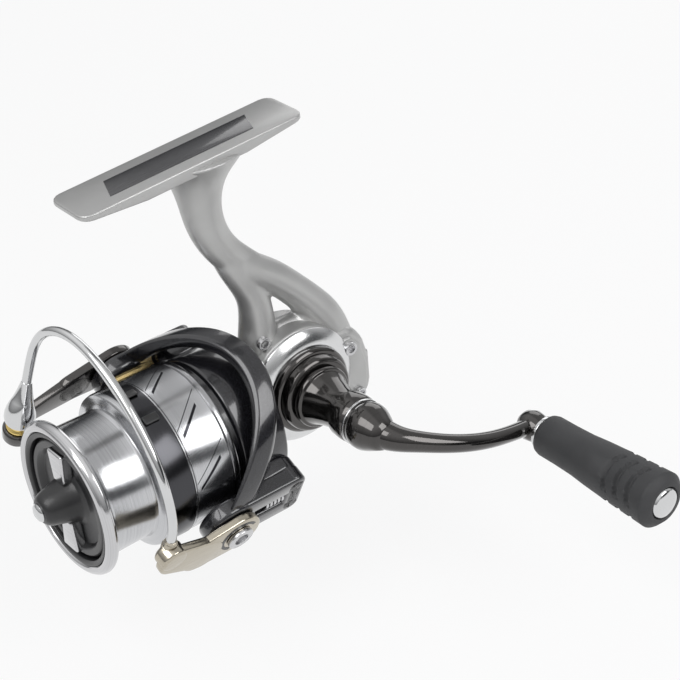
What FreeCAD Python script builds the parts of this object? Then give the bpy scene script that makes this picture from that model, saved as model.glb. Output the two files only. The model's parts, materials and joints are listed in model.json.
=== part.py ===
import FreeCAD, Part
import math
import os

import Sketcher

# A spinning reel, in millimetres. The origin is the middle of the foot's top face, +Z points up to
# the rod, +X points forward to the spool and +Y points to the handle.
# Each size below becomes a cell of the sheet, and the pieces are bound to those cells.

SIZES = {
    # the foot and the stem
    "axis_drop": 84.2, "foot_pitch": 3.7, "foot_half_length": 34.6, "foot_width": 16.2,
    "foot_thickness": 3.4, "foot_tip_thickness": 1.5, "inlay_half_length": 22.3, "inlay_width": 8.0,
    "inlay_depth": 0.9, "stem_thickness": 9.0, "stem_top_front": 7.0, "stem_top_rear": 17.0,
    "stem_waist_front": 8.0, "stem_waist_rear": 21.5, "stem_waist_depth": 34.0,
    # the gear case
    "drive_back": 25.6, "drive_rise": 5.5, "case_radius": 17.4, "case_wall": 1.6,
    "case_left": 10.4, "case_right": 7.6, "tail_end": 55.0, "tail_height": 27.0,
    "tail_low": 15.6, "boss_rear": 13.4, "boss_front": 4.5, "boss_radius": 10.5,
    # the drive
    "drive_shaft_radius": 2.6, "drive_bearing_radius": 5.5, "bearing_width": 2.6,
    "drive_gear_radius": 12.4, "drive_gear_near": 3.4, "drive_gear_width": 2.0,
    "crosswind_radius": 4.0, "crosswind_width": 1.6, "oscillator_radius": 9.6,
    "oscillator_back": 36.0, "oscillator_drop": 4.2, "oscillator_pin_radius": 1.2,
    "running": 0.05, "seat": 0.02, "air": 0.35,
    "shaft_radius": 1.6, "shaft_rear": 44.0, "shaft_front": 53.0, "pinion_radius": 3.0,
    "pinion_rear": 19.0, "pinion_front": 5.5, "sleeve_radius": 2.8, "pinion_bearing_radius": 7.5,
    "clutch_radius": 9.0, "clutch_front": 5.6,
    # the side cover and the handle
    "cover_rise": 10.6, "collar_radius": 14.5, "collar_end": 15.7, "collar_neck": 10.0,
    "cone_start": 16.1, "cone_root": 9.2, "cone_end": 32.2, "cone_tip": 7.0,
    "crank_reach": 47.6, "crank_drop": 16.2, "arm_hub_radius": 6.9,
    "arm_radius": 3.3, "arm_bow": 54.5, "knob_eye_radius": 4.6, "knob_eye_y": 51.0,
    "knob_start": 57.0, "knob_end": 102.6, "knob_root": 6.2, "knob_waist": 6.5, "knob_belly": 8.3,
    "knob_bore": 3.6, "knob_pin_radius": 2.0, "knob_cap_radius": 4.6,
    # the rotor and the bail, seen along the rotor's own pivot line
    "rotor_turn": -27.0, "rotor_rear": 9.4, "rotor_web": 3.0, "rotor_cup": 22.0, "rotor_wall": 1.8,
    "rotor_drum": 20.4, "rotor_drum_front": 18.0, "arm_inside": 24.3, "arm_outside": 29.4,
    "arm_half_width": 8.0, "pivot_x": 14.5, "pivot_radius": 7.2, "hoop_radius": 31.5,
    "hoop_thickness": 3.4, "hoop_back": 7.2, "pivot_screw_radius": 2.4,
    "plate_gap": 0.3, "plate_thickness": 2.6, "holder_tip_x": 36.5, "holder_tip_z": 6.0,
    "holder_tip_radius": 4.0, "roller_x": 46.0, "roller_offset": 28.0, "roller_radius": 3.5,
    "roller_pin_radius": 1.3, "roller_width": 3.4, "wire_radius": 1.1,
    # the spool and the drag
    "lip_x": 50.0, "lip_radius": 22.5, "lip_bore": 20.0, "lip_width": 3.6, "barrel_radius": 18.6,
    "barrel_rear": 31.0, "skirt_rear": 7.4, "skirt_radius": 22.7, "skirt_wall": 1.0,
    "spool_hub_radius": 5.0, "drag_bore": 13.0, "drag_floor": 34.0, "drag_washer": 1.2,
    "drag_knob_radius": 17.4, "drag_knob_back": 45.2, "drag_knob_face": 48.4, "drag_nose": 57.0,
    "drag_nose_radius": 4.0, "drag_bar_width": 7.0,
}

UP = FreeCAD.Vector(0, 0, 1)
ALONG = FreeCAD.Vector(1, 0, 0)
ACROSS = FreeCAD.Vector(0, 1, 0)
TURN_TO_X = FreeCAD.Rotation(ACROSS, 90)
TURN_TO_Y = FreeCAD.Rotation(ALONG, -90)
NO_TURN = FreeCAD.Rotation()
TO_AXIS = {"x": TURN_TO_X, "y": TURN_TO_Y, "z": NO_TURN}
QUARTER_TURN = 90
FULL_TURN = 360


class Term:
    """A size together with the text that names it in the sheet, so that sums keep both."""

    def __init__(self, value, text):
        self.value = float(value)
        self.text = text

    def __add__(self, other):
        other = as_term(other)
        return Term(self.value + other.value, f"({self.text} + {other.text})")

    def __radd__(self, other):
        return as_term(other) + self

    def __sub__(self, other):
        other = as_term(other)
        return Term(self.value - other.value, f"({self.text} - {other.text})")

    def __rsub__(self, other):
        return as_term(other) - self

    def __mul__(self, other):
        other = as_term(other)
        return Term(self.value * other.value, f"({self.text} * {other.text})")

    def __rmul__(self, other):
        return as_term(other) * self

    def __truediv__(self, other):
        other = as_term(other)
        return Term(self.value / other.value, f"({self.text} / {other.text})")

    def __neg__(self):
        return Term(-self.value, f"(-1 * {self.text})")


def as_term(value):
    if isinstance(value, Term):
        return value
    return Term(value, repr(float(value)))


doc = FreeCAD.newDocument("spinning_reel")
sheet = doc.addObject("Spreadsheet::Sheet", "size")
cells = {}
for row, (alias, number) in enumerate(SIZES.items(), start=1):
    sheet.set(f"A{row}", alias)
    sheet.set(f"B{row}", str(number))
    sheet.setAlias(f"B{row}", alias)
    cells[alias] = Term(number, f"size.{alias}")
doc.recompute()


class Cells:
    """Gives each size of the sheet by its name."""

    def __getattr__(self, name):
        return cells[name]


s = Cells()
ZERO = as_term(0)
AXIS = (ZERO, ZERO, -s.axis_drop)
DRIVE = (-s.drive_back, ZERO, s.drive_rise - s.axis_drop)
nodes = []


def bind(thing, prop, term):
    setattr(thing, prop, as_term(term).value)
    thing.setExpression(prop, as_term(term).text)


def put(thing, at, turn=NO_TURN):
    """Places a thing at three sizes, turned as given."""
    at = [as_term(part) for part in at]
    thing.Placement = FreeCAD.Placement(FreeCAD.Vector(*[part.value for part in at]), turn)
    for letter, part in zip("xyz", at):
        thing.setExpression(f"Placement.Base.{letter}", part.text)
    return thing


def rod(axis, start, end, radius, centre):
    """A round bar along an axis, from start to end, about a centre line through a point."""
    bar = doc.addObject("Part::Cylinder", "bar")
    bind(bar, "Radius", radius)
    bind(bar, "Height", as_term(end) - start)
    at = list(centre)
    at["xyz".index(axis)] = at["xyz".index(axis)] + start
    return put(bar, at, TO_AXIS[axis])


def block(low, high):
    """A box between two corners."""
    box = doc.addObject("Part::Box", "block")
    for prop, first, last in zip(("Length", "Width", "Height"), low, high):
        bind(box, prop, as_term(last) - first)
    return put(box, low)


def cut(base, *tools):
    """A base with tools taken away."""
    for tool in tools:
        result = doc.addObject("Part::Cut", "cut")
        result.Base = base
        result.Tool = tool
        base = result
    return base


def fuse(*things):
    result = doc.addObject("Part::MultiFuse", "fuse")
    result.Shapes = list(things)
    return result


def common(first, second):
    result = doc.addObject("Part::MultiCommon", "common")
    result.Shapes = [first, second]
    return result


def group(*things):
    """Several separate solids that share one node."""
    result = doc.addObject("Part::Compound", "group")
    result.Links = list(things)
    return result


def node(thing, name):
    """Names a finished sub-part, which is then written to a file."""
    thing.Label = name
    nodes.append(thing)
    return thing


def outline_sketch(body, plane, points):
    """A closed outline of straight edges, with each corner held by the sheet's sizes."""
    sketch = body.newObject("Sketcher::SketchObject", "outline")
    features = [part for part in body.Origin.OriginFeatures if part.Role == plane]
    sketch.AttachmentSupport = [(features[0], "")]
    sketch.MapMode = "FlatFace"
    corners = [(as_term(first), as_term(second)) for first, second in points]
    count = len(corners)
    for index, (first, second) in enumerate(corners):
        following = corners[(index + 1) % count]
        start = FreeCAD.Vector(first.value, second.value, 0)
        end = FreeCAD.Vector(following[0].value, following[1].value, 0)
        sketch.addGeometry(Part.LineSegment(start, end), False)
    for index in range(count):
        sketch.addConstraint(Sketcher.Constraint("Coincident", index, 2, (index + 1) % count, 1))
    for index, (first, second) in enumerate(corners):
        for kind, term, other_axis in (("DistanceX", first, -2), ("DistanceY", second, -1)):
            if term.value == 0:
                sketch.addConstraint(Sketcher.Constraint("PointOnObject", index, 1, other_axis))
                continue
            number = sketch.addConstraint(Sketcher.Constraint(kind, -1, 1, index, 1, term.value))
            sketch.setExpression(f"Constraints[{number}]", term.text)
    return sketch


def turned(name, points, at, turn=NO_TURN):
    """A piece turned about its own X line, from an outline of places along it and radii."""
    body = doc.addObject("PartDesign::Body", name)
    sketch = outline_sketch(body, "XY_Plane", points)
    spun = body.newObject("PartDesign::Revolution", "turning")
    spun.Profile = sketch
    spun.ReferenceAxis = (sketch, ["H_Axis"])
    spun.Angle = FULL_TURN
    body.Tip = spun
    return put(body, at, turn)


def plate(name, points, thickness, at, turn=NO_TURN):
    """A flat piece, half its thickness each side of the plane of its outline in X and Z."""
    body = doc.addObject("PartDesign::Body", name)
    sketch = outline_sketch(body, "XZ_Plane", points)
    pad = body.newObject("PartDesign::Pad", "thickness")
    pad.Profile = sketch
    bind(pad, "Length", thickness)
    pad.Midplane = True
    body.Tip = pad
    return put(body, at, turn)


def ring(axis, start, end, outer, inner, centre):
    """A round bar with a round hole right through it."""
    return cut(
        rod(axis, start, end, outer, centre), rod(axis, as_term(start) - 1, as_term(end) + 1, inner, centre)
    )


def carry(thing, centre, turn):
    """Turns a piece that was modelled level, then moves it to a centre given by the sheet."""
    moved = FreeCAD.Placement(FreeCAD.Vector(*[part.value for part in centre]), turn)
    level = thing.Placement
    for letter in "xyz":
        thing.setExpression(f"Placement.Base.{letter}", None)
    thing.Placement = moved.multiply(level)
    return thing


def on_rotor(thing):
    """Turns a piece to the rotor's own angle about the main shaft."""
    return carry(thing, AXIS, FreeCAD.Rotation(ALONG, s.rotor_turn.value))


LEVEL = (ZERO, ZERO, ZERO)
SHAFT_Z = -s.axis_drop
DRIVE_Z = s.drive_rise - s.axis_drop
Y_LINE = FreeCAD.Rotation(UP, 90)
PITCH = FreeCAD.Rotation(ACROSS, s.foot_pitch.value)


def make_foot_parts():
    """The blade that the rod holds, with the plate that lies in its top."""
    half = s.foot_half_length
    thick = s.foot_thickness
    thin = s.foot_tip_thickness
    flat = half * 0.5
    side = [(-half, ZERO), (half, ZERO), (half, -thin), (flat, -thick), (-flat, -thick), (-half, -thin)]
    blade = plate("foot_blade", side, s.foot_width, LEVEL, PITCH)
    recess_low = (-s.inlay_half_length, -s.inlay_width / 2, -s.inlay_depth)
    recess_high = (s.inlay_half_length, s.inlay_width / 2, as_term(1))
    recess = block(recess_low, recess_high)
    carry(recess, LEVEL, PITCH)
    gap = s.seat
    inlay_low = (-s.inlay_half_length + gap, -s.inlay_width / 2 + gap, -s.inlay_depth)
    inlay_high = (s.inlay_half_length - gap, s.inlay_width / 2 - gap, ZERO)
    inlay = block(inlay_low, inlay_high)
    node(carry(inlay, LEVEL, PITCH), "foot_inlay")
    return blade, recess


def make_stem():
    """The stalk from the foot, which parts into two legs round a window above the gear case."""
    waist = -s.stem_waist_depth
    side = [
        (s.stem_top_front, -s.foot_thickness + 1), (s.stem_top_front - 5, as_term(-18)),
        (-s.stem_waist_front, waist), (-s.boss_rear, as_term(-46)), (-s.boss_rear, as_term(-70)),
        (as_term(-47), as_term(-74)), (as_term(-42), as_term(-64)), (as_term(-33), as_term(-56)),
        (as_term(-27), as_term(-45)), (-s.stem_waist_rear, waist),
        (-s.stem_top_rear - 2.5, as_term(-16)), (-s.stem_top_rear, -s.foot_thickness + 1),
    ]
    stem = plate("stem_plate", side, s.stem_thickness, LEVEL)
    window = [
        (as_term(-18), as_term(-47)), (as_term(-17.5), as_term(-58.5)), (as_term(-29), as_term(-58.5)),
    ]
    return stem, plate("window", window, s.stem_thickness + 2, LEVEL)


def make_housing():
    """One casting: the foot, the stem and the gear case, hollow and open on the handle's side."""
    blade, recess = make_foot_parts()
    stem, window = make_stem()
    drive_line = (DRIVE[0], ZERO, DRIVE[2])
    drum = rod("y", -s.case_left, s.case_right, s.case_radius, drive_line)
    tail_high = s.tail_height - s.tail_low
    tail = block(
        (-s.tail_end, -s.case_left, SHAFT_Z - s.tail_low),
        (-s.drive_back, s.case_right, SHAFT_Z + tail_high)
    )
    boss = rod("x", -s.boss_rear, -s.boss_front, s.boss_radius, AXIS)
    solid = fuse(blade, stem, drum, tail, boss)
    wall = s.case_wall
    inner_drum = rod("y", -s.case_left + wall, s.case_right + 1, s.case_radius - wall, drive_line)
    inner_tail = block(
        (-s.tail_end + wall, -s.case_left + wall, SHAFT_Z - s.tail_low + wall),
        (-s.drive_back, s.case_right + 1, SHAFT_Z + tail_high - wall),
    )
    hollow = cut(solid, recess, window, inner_drum, inner_tail)
    bush_rear = -s.pinion_rear - s.bearing_width
    bracket = block(
        (bush_rear, -s.case_left + wall / 2, SHAFT_Z - 4.6),
        (-s.pinion_rear - s.air, s.drive_gear_near - s.air, SHAFT_Z + 4.6),
    )
    web = fuse(hollow, bracket)
    left_seat = rod("y", -s.case_left - 1, -s.case_left + wall + 1, s.drive_bearing_radius, drive_line)
    bush_seat = rod("x", bush_rear - 1, -s.pinion_rear, s.sleeve_radius, AXIS)
    front_seat = rod("x", -s.boss_rear + 1.2, -s.boss_front + 1, s.pinion_bearing_radius + s.seat, AXIS)
    front_bore = rod("x", -s.boss_rear - 8, -s.boss_front, s.pinion_radius + s.air, AXIS)
    clutch_room = rod(
        "x", -s.boss_rear + 1.2 + s.bearing_width, -s.boss_front + 1, s.clutch_radius + s.seat, AXIS
    )
    node(cut(web, left_seat, bush_seat, front_seat, front_bore, clutch_room), "housing")


def make_case_parts():
    """Covers, bearings, the one-way clutch and the screws that the gear case carries."""
    line = (DRIVE[0], ZERO, DRIVE[2])
    seat = s.drive_bearing_radius + s.seat
    right = s.case_right
    cover = turned(
        "cover_dome",
        [(right, seat), (right, s.case_radius), (right + 0.9, s.case_radius),
         (s.cover_rise, s.collar_radius), (s.cover_rise, seat)],
        line, Y_LINE,
    )
    wing = block(
        (-s.tail_end, right, SHAFT_Z - s.tail_low),
        (-s.drive_back, right + 1, SHAFT_Z + s.tail_height - s.tail_low)
    )
    wing_hole = rod("y", right - 1, right + 2, s.case_radius + s.seat, line)
    boss_room = rod("x", -s.boss_rear - 6, -s.boss_front, s.boss_radius + s.seat, AXIS)
    node(cut(cover, boss_room), "side_cover")
    node(cut(wing, wing_hole), "tail_cover")
    bore = s.drive_shaft_radius + s.running
    node(
        ring("y", right, right + s.bearing_width, s.drive_bearing_radius, bore, line), "drive_bearing_right"
    )
    left = -s.case_left
    node(
        ring("y", left, left + s.bearing_width, s.drive_bearing_radius - s.seat, bore, line),
        "drive_bearing_left"
    )
    cap_radius = s.drive_bearing_radius + 3
    cap = turned(
        "left_screw_cap",
        [(left, ZERO), (left - 1.6, ZERO), (left - 1.6, cap_radius - 1), (left - 0.8, cap_radius),
         (left, cap_radius)],
        line, Y_LINE,
    )
    node(cap, "left_screw_cap")
    collar = turned(
        "drive_collar",
        [(s.cover_rise, bore), (s.cover_rise, s.collar_radius), (s.cover_rise + 1.2, s.collar_radius),
         (s.cover_rise + 2.2, s.collar_neck + 1.4), (s.collar_end, s.collar_neck), (s.collar_end, bore)],
        line, Y_LINE,
    )
    node(collar, "drive_collar")
    bearing_rear = -s.boss_rear + 1.2
    bearing_front = bearing_rear + s.bearing_width
    sleeve = s.sleeve_radius + s.running
    outer = s.pinion_bearing_radius
    node(ring("x", bearing_rear, bearing_front, outer, sleeve, AXIS), "pinion_bearing_front")
    node(ring("x", bearing_front, -s.clutch_front, s.clutch_radius, sleeve, AXIS), "one_way_clutch")
    node(ring("x", -s.clutch_front, -s.boss_front, s.clutch_radius, sleeve, AXIS), "clutch_plate")
    bush_rear = -s.pinion_rear - s.bearing_width
    journal = s.pinion_radius - 0.9 + s.running
    node(
        ring("x", bush_rear, -s.pinion_rear - s.air, s.sleeve_radius - s.seat, journal, AXIS),
        "pinion_bush_rear"
    )
    rear_low = (-s.tail_end - 1.8, -s.case_left + 1, SHAFT_Z - s.tail_low + 1)
    rear_high = (-s.tail_end, s.case_right, SHAFT_Z + s.tail_height - s.tail_low - 1)
    node(block(rear_low, rear_high), "rear_cap")


def make_cover_screws():
    """Two screws near the stem and one at the tail hold the cover."""
    spots = [(-s.boss_rear - 2.5, SHAFT_Z + 22.2), (-s.drive_back - 17.6, SHAFT_Z + 13.5)]
    screws = []
    for along, height in spots:
        head = rod("y", s.stem_thickness / 2, s.stem_thickness / 2 + 1.6, 1.9, (along, ZERO, height))
        socket = rod("y", s.stem_thickness / 2 + 0.8, s.stem_thickness / 2 + 2, 0.9, (along, ZERO, height))
        screws.append(cut(head, socket))
    tail_line = (-s.tail_end + 4, ZERO, SHAFT_Z - s.tail_low + 4)
    screws.append(rod("y", s.case_right + 1, s.case_right + 2.2, 1.9, tail_line))
    node(group(*screws), "cover_screws")


def make_drive():
    """The shaft with its face gear and its small gear for the spool's stroke."""
    line = (DRIVE[0], ZERO, DRIVE[2])
    left = -s.case_left + s.air
    radius = s.drive_shaft_radius
    node(rod("y", left, s.cone_end - 6, radius, line), "drive_shaft")
    near = s.drive_gear_near
    far = near + s.drive_gear_width
    teeth_ring = ring("y", near, far, s.drive_gear_radius, s.drive_gear_radius - 4, line)
    hub = ring("y", near + 0.6, far + 0.8, s.drive_gear_radius - 3, radius + s.seat, line)
    node(fuse(teeth_ring, hub), "drive_gear")
    small = -s.case_left + s.case_wall + 0.3
    inner = radius + s.seat
    node(
        ring("y", small + 1, small + 1 + s.crosswind_width, s.crosswind_radius, inner, line),
        "crosswind_gear"
    )


def make_oscillator():
    """The gear whose pin carries the spool's stroke, on a post of the case."""
    centre = (-s.oscillator_back, ZERO, SHAFT_Z - s.oscillator_drop)
    small = -s.case_left + s.case_wall + 0.3 + 1
    post = rod("y", -s.case_left + s.case_wall, small + s.crosswind_width + 0.3, 1.5, centre)
    node(post, "oscillator_post")
    gear = ring(
        "y", small, small + s.crosswind_width, s.oscillator_radius, as_term(1.5) + s.running, centre
    )
    pin_line = (centre[0] - 5.4, ZERO, centre[2])
    pin = rod(
        "y", small + s.crosswind_width, small + s.crosswind_width + 1.4, s.oscillator_pin_radius, pin_line
    )
    node(fuse(gear, pin), "oscillator_gear")


def make_shaft_parts():
    """The main shaft, with the slider at its rear and what it carries under the spool."""
    node(rod("x", -s.shaft_rear, s.shaft_front, s.shaft_radius, AXIS), "main_shaft")
    rear = -s.shaft_rear + 1
    slider_low = (rear, as_term(-3.6), SHAFT_Z - 6)
    slider_high = (rear + 5, as_term(2.8), SHAFT_Z + 2.2)
    slot = block((rear + 1.2, as_term(-4), SHAFT_Z - 5.4), (rear + 3.8, as_term(-2.2), SHAFT_Z + 1.6))
    bore = rod("x", rear - 1, rear + 6, s.shaft_radius + s.seat, AXIS)
    node(cut(block(slider_low, slider_high), slot, bore), "slider")
    spool_stop = s.drag_floor - 9
    seat_radius = s.spool_hub_radius + 1.5
    node(
        ring("x", spool_stop - 2, spool_stop, seat_radius, s.shaft_radius + s.seat, AXIS),
        "spool_seat_washer"
    )
    click = ring("x", spool_stop - 4, spool_stop - 2, s.spool_hub_radius + 3, s.shaft_radius + s.seat, AXIS)
    node(click, "click_gear")


def make_rotor():
    """The rotor: a cup with a front drum, two arms and the hoop that joins them."""
    rear = -s.rotor_rear
    web = s.rotor_web
    wall = s.rotor_wall
    cup = turned(
        "rotor_cup",
        [(rear, s.rotor_cup - wall), (rear, s.rotor_cup), (web + 2, s.rotor_cup), (web + 2, s.rotor_drum),
         (s.rotor_drum_front, s.rotor_drum), (s.rotor_drum_front, s.rotor_drum - wall),
         (web, s.rotor_drum - wall), (web, s.sleeve_radius + s.seat),
         (ZERO - web, s.sleeve_radius + s.seat), (ZERO - web, s.sleeve_radius + 3),
         (ZERO, s.sleeve_radius + 3),
         (ZERO, s.rotor_cup - wall)],
        LEVEL,
    )
    pieces = [cup]
    half = s.arm_half_width
    for side in (1, -1):
        inner, outer = s.arm_inside * side, s.arm_outside * side
        root, top = (s.rotor_cup - 2) * side, outer
        low, high = (inner, outer) if side == 1 else (outer, inner)
        pieces.append(block((rear, low, -half), (s.pivot_x, high, half)))
        pieces.append(rod("y", low, high, half, (s.pivot_x, ZERO, ZERO)))
        low, high = (root, top) if side == 1 else (top, root)
        pieces.append(block((rear, low, -half), (web + 2, high, half)))
    centre_x = s.hoop_radius - s.hoop_back
    across = ring(
        "z", -s.hoop_radius, s.hoop_radius, s.hoop_radius, s.hoop_radius - s.hoop_thickness,
        (centre_x, ZERO, ZERO)
    )
    band = ring("x", rear, s.pivot_x, s.arm_outside, s.arm_inside + 0.8, LEVEL)
    pieces.append(common(band, across))
    rotor = fuse(*pieces)
    window = block((rear + 4, s.arm_inside - 1, -half / 2), (s.pivot_x - 7, s.arm_outside + 1, half / 2))
    hole = s.pivot_screw_radius + s.seat
    bores = [rod("y", s.arm_inside - 1, s.arm_outside + 1, hole, (s.pivot_x, ZERO, ZERO))]
    bores.append(rod("y", -s.arm_outside - 1, -s.arm_inside + 1, hole, (s.pivot_x, ZERO, ZERO)))
    node(on_rotor(cut(rotor, window, *bores)), "rotor")


def make_rotor_parts():
    """The pinion that turns the rotor, its nut, and the bail's pivots and spring."""
    bore = s.shaft_radius + s.running
    rear = -s.pinion_rear
    pinion = turned(
        "pinion",
        [(rear - s.bearing_width, bore), (rear - s.bearing_width, s.pinion_radius - 0.9),
         (rear, s.pinion_radius - 0.9), (rear, s.pinion_radius), (-s.boss_rear, s.pinion_radius),
         (-s.boss_rear, s.sleeve_radius), (s.pinion_front, s.sleeve_radius), (s.pinion_front, bore)],
        AXIS,
    )
    node(pinion, "pinion")
    nut_inner = s.sleeve_radius + s.seat
    node(ring("x", s.rotor_web, s.pinion_front, s.sleeve_radius + 3.2, nut_inner, AXIS), "rotor_nut")
    plate_outer = s.sleeve_radius + 5.5
    keeper = ring("x", s.pinion_front, s.pinion_front + 0.8, plate_outer, bore + 0.3, AXIS)
    node(keeper, "nut_keeper")
    coils = []
    pitch = 1.3
    for turn in range(6):
        coil = doc.addObject("Part::Torus", "coil")
        bind(coil, "Radius1", 1.9)
        bind(coil, "Radius2", 0.45)
        middle = (s.arm_inside + s.arm_outside) / 2
        coils.append(put(coil, (-s.rotor_rear + 5.2 + pitch * turn, middle, ZERO), TURN_TO_X))
    node(on_rotor(group(*coils)), "bail_spring")
    weight_low = (s.rotor_web + 2 + s.air, -s.arm_inside, -s.arm_half_width / 2)
    weight_high = (s.pivot_x + 4, -s.arm_inside + 0.9, s.arm_half_width / 2)
    node(on_rotor(block(weight_low, weight_high)), "balance_weight")


def make_pivots():
    """The two shouldered screws that the bail swings on."""
    face = s.arm_outside + s.plate_gap + s.plate_thickness
    for name, side in (("holder_screw", 1), ("arm_screw", -1)):
        stations = [s.arm_inside, face, face + 0.2, face + 1.4]
        stem_radius = s.pivot_screw_radius
        head = stem_radius + 1.8
        points = [
            (stations[0] * side, ZERO), (stations[0] * side, stem_radius),
            (stations[2] * side, stem_radius),
            (stations[2] * side, head), (stations[3] * side, head - 0.5), (stations[3] * side, ZERO),
        ]
        screw = turned("screw_blank", points, (s.pivot_x, ZERO, ZERO), Y_LINE)
        socket = rod("y", stations[3] * side - 0.8, stations[3] * side + 0.8, 1.1, (s.pivot_x, ZERO, ZERO))
        node(on_rotor(cut(screw, socket)), name)


def make_bail():
    """The holder, the arm with its roller, and the wire, which swing about the pivot line."""
    near = s.arm_outside + s.plate_gap
    far = near + s.plate_thickness
    middle = (near + far) / 2
    bore = s.pivot_screw_radius + s.running
    tip_x, tip_z = s.holder_tip_x, s.holder_tip_z
    web = plate(
        "holder_web",
        [(s.pivot_x, -s.pivot_radius), (s.pivot_x + 10, as_term(-5.4)),
         (tip_x, tip_z - s.holder_tip_radius),
         (tip_x, tip_z + s.holder_tip_radius), (s.pivot_x + 11, as_term(4.6)), (s.pivot_x, s.pivot_radius)],
        s.plate_thickness, (ZERO, middle, ZERO),
    )
    disc = rod("y", near, far, s.pivot_radius, (s.pivot_x, ZERO, ZERO))
    tip = rod("y", near - 1.6, far, s.holder_tip_radius, (tip_x, ZERO, tip_z))
    socket_line = (tip_x, near - 0.6, ZERO)
    socket = rod("z", tip_z, tip_z + 4.6, s.wire_radius + 1.0, socket_line)
    wire_room = rod("z", tip_z + 2, tip_z + 6, s.wire_radius + s.seat, socket_line)
    pivot_bore = rod("y", near - 1, far + 1, bore, (s.pivot_x, ZERO, ZERO))
    node(on_rotor(cut(fuse(web, disc, tip, socket), wire_room, pivot_bore)), "bail_holder")

    roller_line = (s.roller_x, -s.roller_offset, ZERO)
    low = -s.roller_width - 0.6
    arm_web = plate(
        "arm_web",
        [(s.pivot_x, -s.pivot_radius), (s.roller_x - 6, as_term(-9.4)), (s.roller_x, as_term(-9.0)),
         (s.roller_x, low - 0.4), (s.roller_x - 8, low - 0.2), (s.pivot_x + 12, as_term(3.6)),
         (s.pivot_x, s.pivot_radius)],
        s.plate_thickness, (ZERO, -middle, ZERO),
    )
    arm_disc = rod("y", -far, -near, s.pivot_radius, (s.pivot_x, ZERO, ZERO))
    lug = rod("z", as_term(-9.0), low, s.roller_radius + 0.9, roller_line)
    pin_room = rod("z", as_term(-8.0), low + 1, s.roller_pin_radius + s.seat, roller_line)
    arm_bore = rod("y", -far - 1, -near + 1, bore, (s.pivot_x, ZERO, ZERO))
    node(on_rotor(cut(fuse(arm_web, arm_disc, lug), pin_room, arm_bore)), "bail_arm")
    node(on_rotor(rod("z", as_term(-8.0), as_term(1.4), s.roller_pin_radius, roller_line)), "roller_pin")
    roller = turned(
        "line_roller",
        [(low + 0.2, s.roller_pin_radius + s.running), (low + 0.2, s.roller_radius),
         (low + 1.4, s.roller_radius - 0.7), (low + 2.4, s.roller_radius - 0.7),
         (as_term(-0.3), s.roller_radius),
         (as_term(-0.3), s.roller_pin_radius + s.running)],
        roller_line, FreeCAD.Rotation(ACROSS, -90),
    )
    node(on_rotor(roller), "line_roller")
    return roller_line


CONE_LENGTH = 10.5
CONE_SEAT = 1.7


def make_wire(roller_line):
    """The cone over the roller and the wire that runs from it round to the holder."""
    cone = doc.addObject("Part::Cone", "cone")
    bind(cone, "Radius1", s.roller_radius + 1.0)
    bind(cone, "Radius2", s.wire_radius + 0.4)
    bind(cone, "Height", CONE_LENGTH)
    lean = FreeCAD.Rotation(ACROSS, -14).multiply(FreeCAD.Rotation(ALONG, 12))
    put(cone, (s.roller_x, roller_line[1], as_term(CONE_SEAT)), lean)
    base = rod("z", ZERO, as_term(CONE_SEAT + 1.8), s.roller_radius + 1.0, roller_line)
    pin_room = rod("z", as_term(-1), as_term(1.4), s.roller_pin_radius + s.seat, roller_line)
    node(on_rotor(cut(fuse(cone, base), pin_room)), "roller_cone")

    seat = FreeCAD.Vector(s.roller_x.value, roller_line[1].value, CONE_SEAT)
    top = lean.multVec(FreeCAD.Vector(0, 0, CONE_LENGTH)) + seat
    socket_y = (s.arm_outside + s.plate_gap - 0.6).value
    tip = FreeCAD.Vector(s.holder_tip_x.value, socket_y, s.holder_tip_z.value)
    route = [
        top, FreeCAD.Vector(39.0, -34.0, 31.0), FreeCAD.Vector(37.4, -17.0, 43.0),
        FreeCAD.Vector(37.0, 12.0, 43.0), FreeCAD.Vector(37.0, 29.5, 30.0), tip + FreeCAD.Vector(0, 0, 2.2),
    ]
    path = rounded_path(route)
    rim = Part.Wire(Part.makeCircle(s.wire_radius.value, route[0], route[1] - route[0]))
    tube = path.makePipeShell([rim], True, True)
    wire = doc.addObject("Part::Feature", "bail_wire")
    wire.Shape = tube if tube.ShapeType == "Solid" else tube.Solids[0]
    wire.Placement = FreeCAD.Placement()
    node(on_rotor(wire), "bail_wire")


def rounded_path(points):
    """Straight runs with an arc at each corner, as large as the two runs beside it allow."""
    share = 0.45
    edges = []
    last = points[0]
    for before, corner, after in zip(points, points[1:], points[2:]):
        incoming = (corner - before).normalize()
        outgoing = (after - corner).normalize()
        reach = share * min((corner - before).Length, (after - corner).Length)
        start = corner - incoming * reach
        end = corner + outgoing * reach
        bisector = (outgoing - incoming).normalize()
        half_angle = incoming.getAngle(outgoing) / 2
        radius = reach / math.tan(half_angle)
        centre = corner + bisector * (radius / math.cos(half_angle))
        middle = centre - bisector * radius
        edges.append(Part.LineSegment(last, start).toShape())
        edges.append(Part.Arc(start, middle, end).toShape())
        last = end
    edges.append(Part.LineSegment(last, points[-1]).toShape())
    return Part.Wire(edges)


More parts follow.
